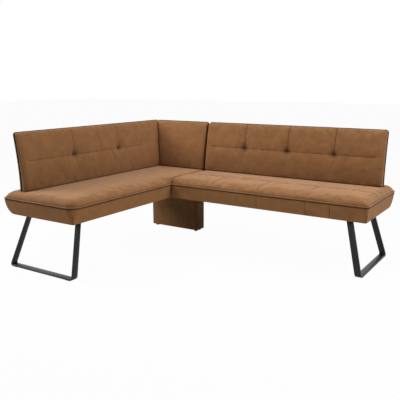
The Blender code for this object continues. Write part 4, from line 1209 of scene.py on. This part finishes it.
def blow_back(piece, back):
    def hold(co):
        if back.from_rim(co) < SEWN_RIM:
            return 1.0
        u = back.flat_u(co)
        return min(1.0, 0.10 + 0.6 * back.seam_lines(u, co.z) + 1.2 * back.tuft_pull(u, co.z))

    def freedom(co):
        return ease(back.from_rim(co), 0.0, 0.02)

    puff(piece, hold, freedom, pressure=2.0, growth=0.008, most=0.003)


def sew_back(piece, back):
    """Pull in the seams and tufts, and lay puckers, fans and gathers beside them."""
    us, zs = back.rim_u, back.rim_z
    for vert in piece.data.vertices:
        u = back.flat_u(vert.co)
        z = vert.co.z
        full = back.level(u, z)
        lines = back.seam_lines(u, z)
        pull = back.tuft_pull(u, z)
        near_tuft = min(1.0, 1.6 * pull) * (1 - min(1.0, 1.1 * pull))
        pucker = lines ** 0.4 * uneven((u, 0.0, z), 0.010, 31.0)
        fan = near_tuft * uneven((u * 1.6, 0.0, z * 0.5), 0.012, 41.0)
        rolled = ease(1 - full, 0.02, 0.4) * (1 - ease(1 - full, 0.8, 1.0))
        near_top = min(zs[1] - z, z - zs[0]) < min(u - us[0], us[1] - u)
        gather = rolled * edge_gathers(u, z, near_top, 51.0)
        notch = back.seam_lines(u, z, 0.006) * ease(z, zs[1] - 0.020, zs[1])
        vert.co.y += (BACK_SEAM_DEPTH * lines + TUFT_DEPTH * pull) * full
        vert.co.y += SOFT_SWELL * (back.soft_pull(u, z) - 0.4) * full
        vert.co.z -= TOP_NOTCH * notch
        vert.co.y -= BACK_PUCKER * pucker + TUFT_FAN * fan + BACK_GATHER * gather


def tie_tufts(piece, back):
    """A doubled thread lies across each tuft's slot and goes back through the foam."""
    ties = []
    for tuft in back.tufts:
        near = [vert.co for vert in piece.data.vertices
                if abs(vert.co.x - tuft) < 0.006 and abs(vert.co.z - SEAM_Z) < 0.004]
        depth = max(co.y for co in near)
        for up in (-STRAND_FROM_MIDDLE, STRAND_FROM_MIDDLE):
            places = [Vector((tuft + TIE_HALF_LENGTH * share, depth - 0.0016 * (1 - share ** 4)
                              + 0.006 * share ** 8, SEAM_Z + up))
                      for share in (-1.0, -0.9, -0.6, 0.0, 0.6, 0.9, 1.0)]
            ties.append(cord("tie", places, TIE_RADIUS, False))
    if ties:
        threads = joined(back.name + "_tuft_ties", ties)
        finish_piece(threads, back.plan, thread)


def back_cushion(back):
    piece = back_sheet(back)
    blow_back(piece, back)
    make_finer(piece)
    sew_back(piece, back)
    tie_tufts(piece, back)
    close_sheet(piece, pad_rear, 1)

    # Painted shade: in the seams and tuft slots, round the tufts' dimples, darker towards the foot
    # of the back, a dark line where the back meets the seat, and on the rolled sides.
    def painted_shade(co):
        u = back.flat_u(co)
        above_seat = co.z - back.rim_z[0]
        return max(0.66 * back.seam_lines(u, co.z, 0.0048),
                   0.90 * ease(back.tuft_slot(u, co.z), 0.10, 0.6),
                   0.58 * min(1.0, back.tuft_pull(u, co.z) ** 1.5),
                   0.20 * (1 - ease(above_seat, 0.02, 0.23)),
                   0.80 * (1 - ease(above_seat, 0.0, 0.018)),
                   0.38 * (1 - ease(back.level(u, co.z), 0.05, 0.30)))

    paint(piece, "painted_shade", painted_shade)
    finish_piece(piece, back.plan, suede, [back.name + "_pad"])
    piece.data.materials.append(border_suede)
    return piece


back_cushions = [back_cushion(back) for back in backs]
print("back pads:", [len(piece.data.polygons) for piece in back_cushions], "faces")

# %% [markdown]
# The piping of a back is dark brown and runs up one end, along the top and down the other. The
# seam allowance that it is sewn to wraps the edge of the board, so a strip of the same dark suede
# lies behind it. Both follow one outline, which is walked once with each one's own inset.

# %% Back piping
STRIP_INSET = 0.0046


def back_outline(back, inset):
    """Places (u, z) up one end of a back, along its top and down the other end."""
    top = BACK_HEIGHT - inset
    radius = BACK_CORNER - inset
    foot = SEAT_HEIGHT + GAP
    halves = []
    for number, (edge, side) in enumerate(((back.u[0] + inset, 1), (back.u[1] - inset, -1))):
        rounded = back.round_ends[number]
        straight_top = top - radius if rounded else top
        count = round((straight_top - foot) / PIPING_PITCH)
        half = [(edge, foot + (straight_top - foot) * n / count) for n in range(count + 1)]
        if rounded:
            half += [(edge + side * radius * (1 - math.cos(angle)),
                      top - radius * (1 - math.sin(angle)))
                     for angle in (0.5 * math.pi * step / 10 for step in range(1, 11))]
        halves.append(half)
    start, end = halves[0][-1][0], halves[1][-1][0]
    count = round((end - start) / PIPING_PITCH)
    along = [(start + (end - start) * n / count, top) for n in range(1, count)]
    return halves[0] + along + halves[1][::-1]


def back_piping(back):
    places = []
    for u, z in back_outline(back, BACK_WELT_RADIUS):
        place = Vector((u + back.shift(u, z), (board_front(z) + board_rear(z)) / 2, z))
        place.z += 0.0004 * uneven(place, 0.05, 13.0)
        places.append(place)
    piece = cord(back.name + "_piping", places, BACK_WELT_RADIUS, False)
    return finish_piece(piece, back.plan, dark_suede, [back.name + "_welt"])


def edge_strip(back):
    """The piping's seam allowance, which wraps the edge of the board."""
    outline = back_outline(back, STRIP_INSET)

    def place(number, share):
        u, z = outline[number]
        depth = board_front(z) - 0.0010 + (BACK_BOARD + 0.0014) * share
        return u + back.shift(u, z), depth, z

    piece = sheet_on_stations(back.name + "_edge_strip", range(len(outline)),
                              (0.0, 0.5, 1.0), place)
    return finish_piece(piece, back.plan, dark_suede)


edge_strips = [edge_strip(back) for back in backs]
back_pipings = [back_piping(back) for back in backs]
print("back pipings and strips:", len(back_pipings) + len(edge_strips))

# %% [markdown]
# The rear covers are plain panels with rolled edges that hide the board and its brackets. They
# have no seams to strain between, so no cloth is simulated, and a wide soft noise is enough for
# their unevenness.

# %% Rear covers
PANEL_PITCH = 0.016
PANEL_ROLL = 0.010
PANEL_EDGE = 0.003


def back_panel(back):
    inset = BACK_WELT_RADIUS / 2
    us = (back.u[0] + inset, back.u[1] - inset)
    zs = (SEAT_HEIGHT + GAP, BACK_HEIGHT - inset)
    roll = PANEL_ROLL
    across = stations(*us, edge_marks(*us, roll, roll), PANEL_PITCH)
    up = stations(*zs, edge_marks(*zs, roll, roll), PANEL_PITCH)

    def rear(u, z):
        full = rise(u - us[0], roll) * rise(us[1] - u, roll) * rise(zs[1] - z, roll)
        soft = 0.0010 * full * uneven((u, 5.0, z), 0.09, 61.0)
        return back.place(u, z, lambda at: board_rear(at) + PANEL_EDGE
                          + (BACK_COVER - PANEL_EDGE) * full + soft, inset)

    piece = sheet_on_stations(back.name + "_rear_panel", across, up, rear)
    close_sheet(piece, board_rear, 0)
    paint(piece, "wear_and_highlight", lambda co: 0.4 * (1 - ease(BACK_HEIGHT - co.z, 0.0, 0.012)))
    return finish_piece(piece, back.plan, suede, [back.name + "_cover"])


back_panels = [back_panel(back) for back in backs]
print("rear panels:", [len(piece.data.polygons) for piece in back_panels], "faces")

# %% [markdown]
# Under the corner stands a box of panels in a fitted sleeve of the same suede, with a sewn
# corner at each edge and a hem turned in at the foot. The sleeve is lofted like the borders,
# from the hem upwards, so that the hem and the walls are one sheet.

# %% Corner box sleeve
BOX_CORNER = 0.006
BOX_HEM = 0.012
BOX_PITCH = 0.012
FOOT_ROUND = ((0.0035, 0.0), (0.0010, 0.0012), (0.0, 0.0040))
WALL_STEPS = 28


def box_sleeve():
    low, high = (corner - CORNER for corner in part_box("corner_support_cover"))
    us, vs = (low.x, high.x), (low.y, high.y)
    foot, top = low.z, high.z
    sides = even_sides(us, vs, [BOX_CORNER] * 4, BOX_PITCH)
    rolled = FOOT_ROUND[-1][1]
    levels = [(BOX_HEM, 0.0), *FOOT_ROUND]
    levels += [(0.0, rolled + (top - foot - rolled) * n / WALL_STEPS)
               for n in range(1, WALL_STEPS + 1)]
    rings = [ring((us[0] + inset, us[1] - inset), (vs[0] + inset, vs[1] - inset),
                  [BOX_CORNER] * 4, foot + up, 6, sides) for inset, up in levels]
    middle = Vector(((us[0] + us[1]) / 2, (vs[0] + vs[1]) / 2, 0.0))
    half = Vector(((us[1] - us[0]) / 2, (vs[1] - vs[0]) / 2, 0.0))
    for places in rings[3:]:
        for place in places:
            wave = 0.0006 * uneven(place, 0.06, 71.0)
            if abs(place.y - middle.y) > half.y - 0.002:
                place.y += math.copysign(wave, place.y - middle.y)
            elif abs(place.x - middle.x) > half.x - 0.002:
                place.x += math.copysign(wave, place.x - middle.x)
    piece = link_mesh("corner_box_sleeve", loft(rings))

    def at_corner(co):
        from_side = half.x - abs(co.x - middle.x)
        from_face = half.y - abs(co.y - middle.y)
        return 1 - ease(abs(from_side - from_face) + 0.5 * (from_side + from_face), 0.002, 0.006)

    # Painted shade in the sewn corners. The foot is lighter as rubbed wear.
    paint(piece, "painted_shade", lambda co: 0.6 * at_corner(co))
    paint(piece, "wear_and_highlight", lambda co: 0.4 * (1 - ease(co.z - foot, 0.0, 0.006)))
    give_thickness(piece)
    return finish_piece(piece, PLANS["long"], suede, ["corner_support_cover"])


sleeve = box_sleeve()
print("box sleeve:", len(sleeve.data.polygons), "faces")

# %% [markdown]
# Each leg frame is one flat steel bar, bent twice at the floor and closed by a top bar that is
# screwed up under the seat. The solid has coarse bends and sharp edges. A swept profile would
# keep one thickness, but the top bar is thinner than the rest, so an outer and an inner outline
# are bridged and given the bar's width. The bends get more steps and every long edge a small
# radius, as rolled bar has.

# %% Leg frames
BAR_WIDTH = 0.042
BAR_THICK = 0.010
TOP_BAR = 0.006
BAR_BEND = 0.022
BEND_STEPS = 10
ROLLED_EDGE = 0.0012
LEG_SPREAD = 0.168
LEG_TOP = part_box("long_leg_frame")[1].z
RUNNER_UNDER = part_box("long_leg_frame")[0].z
LEG_SPAN = 0.433
LEGS = {"short": (0.131 + SHORT_END + WELT_OVERHANG, 0.088, -0.347),
        "long": (LONG_END - WELT_OVERHANG - 0.125, 0.072, 0.272)}


def leg_outline(front, thick, top_bar, radius):
    """Closed trapezoid in (v, z), inside the outer faces by the bar's thickness."""
    foot = RUNNER_UNDER + thick
    top = LEG_TOP - top_bar
    side = (BAR_THICK / 2 - thick) * math.hypot(1.0, LEG_SPREAD)

    def edge(z, rear):
        spread = (LEG_TOP - z) * LEG_SPREAD
        return front + LEG_SPAN + spread + side if rear else front - spread - side

    sweep = 0.5 * math.pi - math.atan(LEG_SPREAD)
    reach = radius * math.tan(sweep / 2)
    turns = [sweep * step / BEND_STEPS for step in range(BEND_STEPS + 1)]
    bend = [(radius * math.sin(turn), foot + radius - radius * math.cos(turn)) for turn in turns]
    points = [(edge(top, False), top)]
    points += [(edge(foot, False) + reach - away, z) for away, z in reversed(bend)]
    points += [(edge(foot, True) - reach + away, z) for away, z in bend]
    points.append((edge(top, True), top))
    return points


def leg_bar(name):
    middle, front, splay = LEGS[name]
    outer = leg_outline(front, 0.0, 0.0, BAR_BEND)
    inner = leg_outline(front, BAR_THICK, TOP_BAR, BAR_BEND - BAR_THICK)
    shape = bmesh.new()
    rims = []
    for outline in (outer, inner):
        verts = [shape.verts.new((middle - BAR_WIDTH / 2, v, z)) for v, z in outline]
        rims += [shape.edges.new(pair) for pair in zip(verts, verts[1:] + verts[:1])]
    bmesh.ops.bridge_loops(shape, edges=rims)
    lifted = bmesh.ops.extrude_face_region(shape, geom=list(shape.faces))["geom"]
    moved = [item for item in lifted if isinstance(item, bmesh.types.BMVert)]
    bmesh.ops.translate(shape, verts=moved, vec=(BAR_WIDTH, 0, 0))
    bmesh.ops.recalc_face_normals(shape, faces=shape.faces)
    long_edges = [edge for edge in shape.edges
                  if edge.calc_face_angle(0.0) > math.radians(60)]
    bmesh.ops.bevel(shape, geom=long_edges, offset=ROLLED_EDGE, segments=2,
                    profile=0.5, affect="EDGES", material=-1)
    for vert in shape.verts:
        vert.co.x += splay * (LEG_TOP - vert.co.z)
    piece = link_mesh(name + "_leg_bar", shape)
    finish_piece(piece, PLANS[name], coat, [name + "_leg_frame"])
    piece.data.set_sharp_from_angle(angle=math.radians(50))
    return piece


leg_bars = [leg_bar(name) for name in ("short", "long")]
print("leg bars:", [len(piece.data.polygons) for piece in leg_bars], "faces")

# %% [markdown]
# The box stands on four round felt-faced gliders. Each is turned: a short profile is spun round
# its axis, which gives it the rounded foot that a cylinder lacks. The screws below are turned in
# the same way, so one function serves both.


# %% Gliders
def turned_shape(profile, steps):
    """A closed turned shape from a profile of (radius, height)."""
    shape = bmesh.new()
    points = [shape.verts.new((across, 0.0, up)) for across, up in profile]
    edges = [shape.edges.new(pair) for pair in zip(points, points[1:])]
    bmesh.ops.spin(shape, geom=points + edges, cent=(0, 0, 0), axis=(0, 0, 1),
                   dvec=(0, 0, 0), angle=2 * math.pi, steps=steps, use_merge=True,
                   use_duplicate=False)
    bmesh.ops.remove_doubles(shape, verts=shape.verts, dist=SAME_PLACE)
    return shape


def glider(number):
    name = "corner_glider_%d" % number
    low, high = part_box(name)
    radius = (high.x - low.x) / 2
    centre = Matrix.Translation(((low.x + high.x) / 2, (low.y + high.y) / 2, 0.0))
    profile = [(0.0, 0.0), (radius * 0.80, 0.0), (radius * 0.93, 0.0009), (radius, 0.003),
               (radius, high.z - 0.001), (radius - 0.001, high.z), (0.0, high.z)]
    shape = turned_shape(profile, 32)
    bmesh.ops.recalc_face_normals(shape, faces=shape.faces)
    piece = link_mesh("turned_glider_%d" % number, shape)
    finish_piece(piece, centre, felt, [name])
    piece.data.set_sharp_from_angle(angle=math.radians(40))
    return piece


gliders = [glider(number) for number in range(1, 5)]
print("gliders:", len(gliders))

# %% [markdown]
# Pan-head screws hold the leg frames' top bars and the two joining plates up to the rails. Each
# head is turned, and a cross recess is pushed into it: four of the sixteen faces round its
# middle are extruded inwards. A boolean could cut the cross, but a head this small needs no more.

# %% Screws
HEAD_RADIUS = 0.0045
HEAD_HEIGHT = 0.0025
RECESS = 0.0012
LEG_SCREWS = (0.12, 0.37, 0.63, 0.88)
SCREW_FROM_MIDDLE = 0.009
PLATE_SCREWS = (-0.044, -0.020, 0.020, 0.044)


def screw_head(place, turn):
    profile = [(HEAD_RADIUS, 0.0), (HEAD_RADIUS, -0.0008), (HEAD_RADIUS * 0.86, -0.0018),
               (HEAD_RADIUS * 0.55, -0.0024), (0.0, -HEAD_HEIGHT)]
    shape = turned_shape(profile, 16)
    inner = [face for face in shape.faces
             if face.calc_center_median().xy.length < HEAD_RADIUS * 0.5]
    inner.sort(key=lambda face: math.atan2(*face.calc_center_median().xy))
    arms = inner[::4]
    sunk = bmesh.ops.extrude_face_region(shape, geom=arms)["geom"]
    for vert in sunk:
        if isinstance(vert, bmesh.types.BMVert):
            vert.co.z += RECESS
    bmesh.ops.delete(shape, geom=arms, context="FACES_ONLY")
    bmesh.ops.recalc_face_normals(shape, faces=shape.faces)
    bmesh.ops.transform(shape, verts=shape.verts,
                        matrix=Matrix.Translation(place) @ Matrix.Rotation(turn, 4, "Z"))
    return link_mesh("screw", shape)


def screws(name, plan, places):
    heads = [screw_head(Vector(place), 0.7 * number) for number, place in enumerate(places)]
    finish_piece(joined(name, heads), plan, zinc)


for name, (middle, front, _) in LEGS.items():
    spots = [(middle + side, front + LEG_SPAN * share, LEG_TOP - TOP_BAR)
             for share in LEG_SCREWS for side in (-SCREW_FROM_MIDDLE, SCREW_FROM_MIDDLE)]
    screws(name + "_leg_screws", PLANS[name], spots)
    print(name, "leg frame:", len(spots), "screws")
for number in (1, 2):
    low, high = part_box("joining_plate_%d" % number)
    middle = (low + high) / 2
    spots = [(middle.x + side, middle.y, low.z) for side in PLATE_SCREWS]
    screws("joining_plate_screws_%d" % number, Matrix(), spots)

# %% [markdown]
# The hems are stapled up through the dust cover, about one staple every 60 mm. A staple is a thin
# wire with two bent legs, so it is a short cord with four places, and no two lie quite alike.

# %% Staples
STAPLE_PITCH = 0.060
STAPLE_FROM_EDGE = 0.030
STAPLE_FROM_JOINT = 0.020
STAPLE_FROM_LEG = 0.030
STAPLE_UNDER_HEM = 0.0016
WIRE_RADIUS = 0.0005
STAPLE_WIRE = ((-0.0050, 0.0014), (-0.0047, 0.0), (0.0047, 0.0), (0.0050, 0.0014))


def staples(seat):
    first = STAPLE_FROM_JOINT if seat.name == "long" else STAPLE_FROM_EDGE
    us = (seat.u[0] + first, seat.u[1] - STAPLE_FROM_EDGE)
    vs = (STAPLE_FROM_EDGE, SEAT_DEPTH - REAR_ARC - STAPLE_FROM_EDGE)
    leg = LEGS[seat.name][0]
    level = UNDERSIDE - GAP - STAPLE_UNDER_HEM
    rows = [(u, v, 0.0) for v in vs for u in stations(*us, [], STAPLE_PITCH)]
    rows += [(u, v, 0.5 * math.pi) for u in us for v in stations(*vs, [], STAPLE_PITCH)[1:-1]]
    shapes = []
    for u, v, turn in rows:
        if abs(u - leg) < STAPLE_FROM_LEG:
            continue
        turn += 0.25 * uneven((u, v, 0.0), 0.05, 81.0)
        places = [Vector((u + along * math.cos(turn), v + along * math.sin(turn), level + up))
                  for along, up in STAPLE_WIRE]
        shapes.append(cord("staple", places, WIRE_RADIUS, False))
    print(seat.name, "hem:", len(shapes), "staples")
    finish_piece(joined(seat.name + "_hem_staples", shapes), seat.plan, zinc)


for seat in (short_seat, long_seat):
    staples(seat)

# %% [markdown]
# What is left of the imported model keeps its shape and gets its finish: rails, boards, webbing,
# dust covers, plates and brackets. A small Bevel takes the sharpness off timber and steel. The
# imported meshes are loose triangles, so a Weld comes before it.

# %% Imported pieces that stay
GRAIN = {"front_rail": "along", "rear_rail": "along", "end_rail": "across",
         "cross_rail": "across", "flat_rail": "across", "board": "along", "base": "along"}
FINISHES = {"black_steel": coat, "black_felt": felt, "webbing": band}
REPLACED = {"seat_pad", "seat_welt", "seat_border", "back_pad", "back_welt", "back_cover",
            "support_cover", "leg_frame", "corner_glider"}
BROKEN_EDGE = 0.0006
kept = 0
for row in frame["record"]["subparts"]:
    name = row["node"]
    if any(part in name for part in REPLACED):
        continue
    node = nodes[name]
    node.data.materials.clear()
    if row["material_slot"] == "timber":
        way = next((GRAIN[part] for part in GRAIN if part in name), "upright")
        turned = name.startswith("short")
        grain = {"along": "XY"[turned], "across": "YX"[turned], "upright": "Z"}[way]
        node.data.materials.append(beech[grain])
    else:
        node.data.materials.append(FINISHES[row["material_slot"]])
    if row["material_slot"] in ("timber", "black_steel"):
        weld = node.modifiers.new("weld", "WELD")
        weld.merge_threshold = SAME_PLACE
        soften = node.modifiers.new("soften", "BEVEL")
        soften.width = BROKEN_EDGE
        soften.segments = 2
        soften.limit_method = "ANGLE"
        soften.angle_limit = math.radians(40)
    kept += 1
print("packed pieces kept with a new finish:", kept)

# %% [markdown]
# The floor is pale and close to white for the camera, and keeps a soft shadow. Brighter lamps
# would whiten it too, but would bleach the suede. So for the rays that show the background the
# floor is nearly all white glow, and the small matt share takes the shadow. Other rays meet a
# plain pale matt floor.

# %% Floor
FLOOR_GLOW = 0.965


def background_rays(tree):
    """1 for rays that show the background: the camera's, mirrored ones and ones through glass."""
    path = add_node(tree, "ShaderNodeLightPath")
    seen = 0.0
    for ray in ("Is Camera Ray", "Is Glossy Ray", "Is Transmission Ray"):
        seen = add_node(tree, "ShaderNodeMath", {0: path.outputs[ray], 1: seen},
                        operation="MAXIMUM").outputs[0]
    return seen


shape = bmesh.new()
bmesh.ops.create_grid(shape, x_segments=1, y_segments=1, size=30.0)
floor = link_mesh("studio_floor", shape)
paper, tree, output = new_material("white_studio_paper")
share = add_node(tree, "ShaderNodeMath", {0: background_rays(tree), 1: FLOOR_GLOW},
                 operation="MULTIPLY")
matt = add_node(tree, "ShaderNodeBsdfDiffuse", {"Color": linear("#C9C9C7")})
glow = add_node(tree, "ShaderNodeEmission", {"Color": linear("#FFFFFF"), "Strength": 1.0})
mix = add_node(tree, "ShaderNodeMixShader", {
    0: share.outputs[0], 1: matt.outputs[0], 2: glow.outputs[0]})
tree.links.new(mix.outputs[0], output.inputs["Surface"])
floor.data.materials.append(paper)

# %% [markdown]
# The room is white where it is seen, and lights the bench with a small share of that, so that
# the shadows keep their depth.

# %% World
ROOM_LIGHT = 0.045

world = bpy.data.worlds.new("studio")
scene.world = world
world.use_nodes = True
room = world.node_tree
room.nodes.clear()
strength = add_node(room, "ShaderNodeMapRange", {
    "Value": background_rays(room), "To Min": ROOM_LIGHT, "To Max": 1.0})
background = add_node(room, "ShaderNodeBackground", {
    "Color": linear("#FFFFFF"), "Strength": strength.outputs[0]})
add_node(room, "ShaderNodeOutputWorld", {"Surface": background.outputs[0]})

# %% [markdown]
# Six area lamps light the bench from above, from both sides and from the front. A sun would
# light it too, but with hard shadows. The upper right lamp and the left one are the strongest.
# The right softbox is weak, so that the sides that face it stay dark.

# %% Lamps
AIM = (0.0, 0.1, 0.5)
SQUARE = (1.6, 1.6)
WIDE = (2.4, 1.8)


def add_lamp(name, place, aim, power, size):
    lamp = bpy.data.lights.new(name, "AREA")
    lamp.energy = power
    lamp.shape = "RECTANGLE"
    lamp.size, lamp.size_y = size
    holder = bpy.data.objects.new(name, lamp)
    holder.location = place
    holder.rotation_mode = "QUATERNION"
    holder.rotation_quaternion = (Vector(aim) - Vector(place)).to_track_quat("-Z", "Y")
    scene.collection.objects.link(holder)


add_lamp("overhead_left", (-1.8, -0.8, 3.0), AIM, 40, SQUARE)
add_lamp("overhead_rear", (0.0, 1.6, 3.2), AIM, 30, WIDE)
add_lamp("overhead_right", (2.4, 0.7, 2.8), (0.7, 0.2, 0.5), 80, SQUARE)
add_lamp("left_softbox", (-3.0, -1.4, 2.4), AIM, 82, SQUARE)
add_lamp("right_softbox", (3.2, -0.4, 2.2), AIM, 12, SQUARE)
add_lamp("front_softbox", (1.0, -3.6, 2.6), AIM, 19, WIDE)
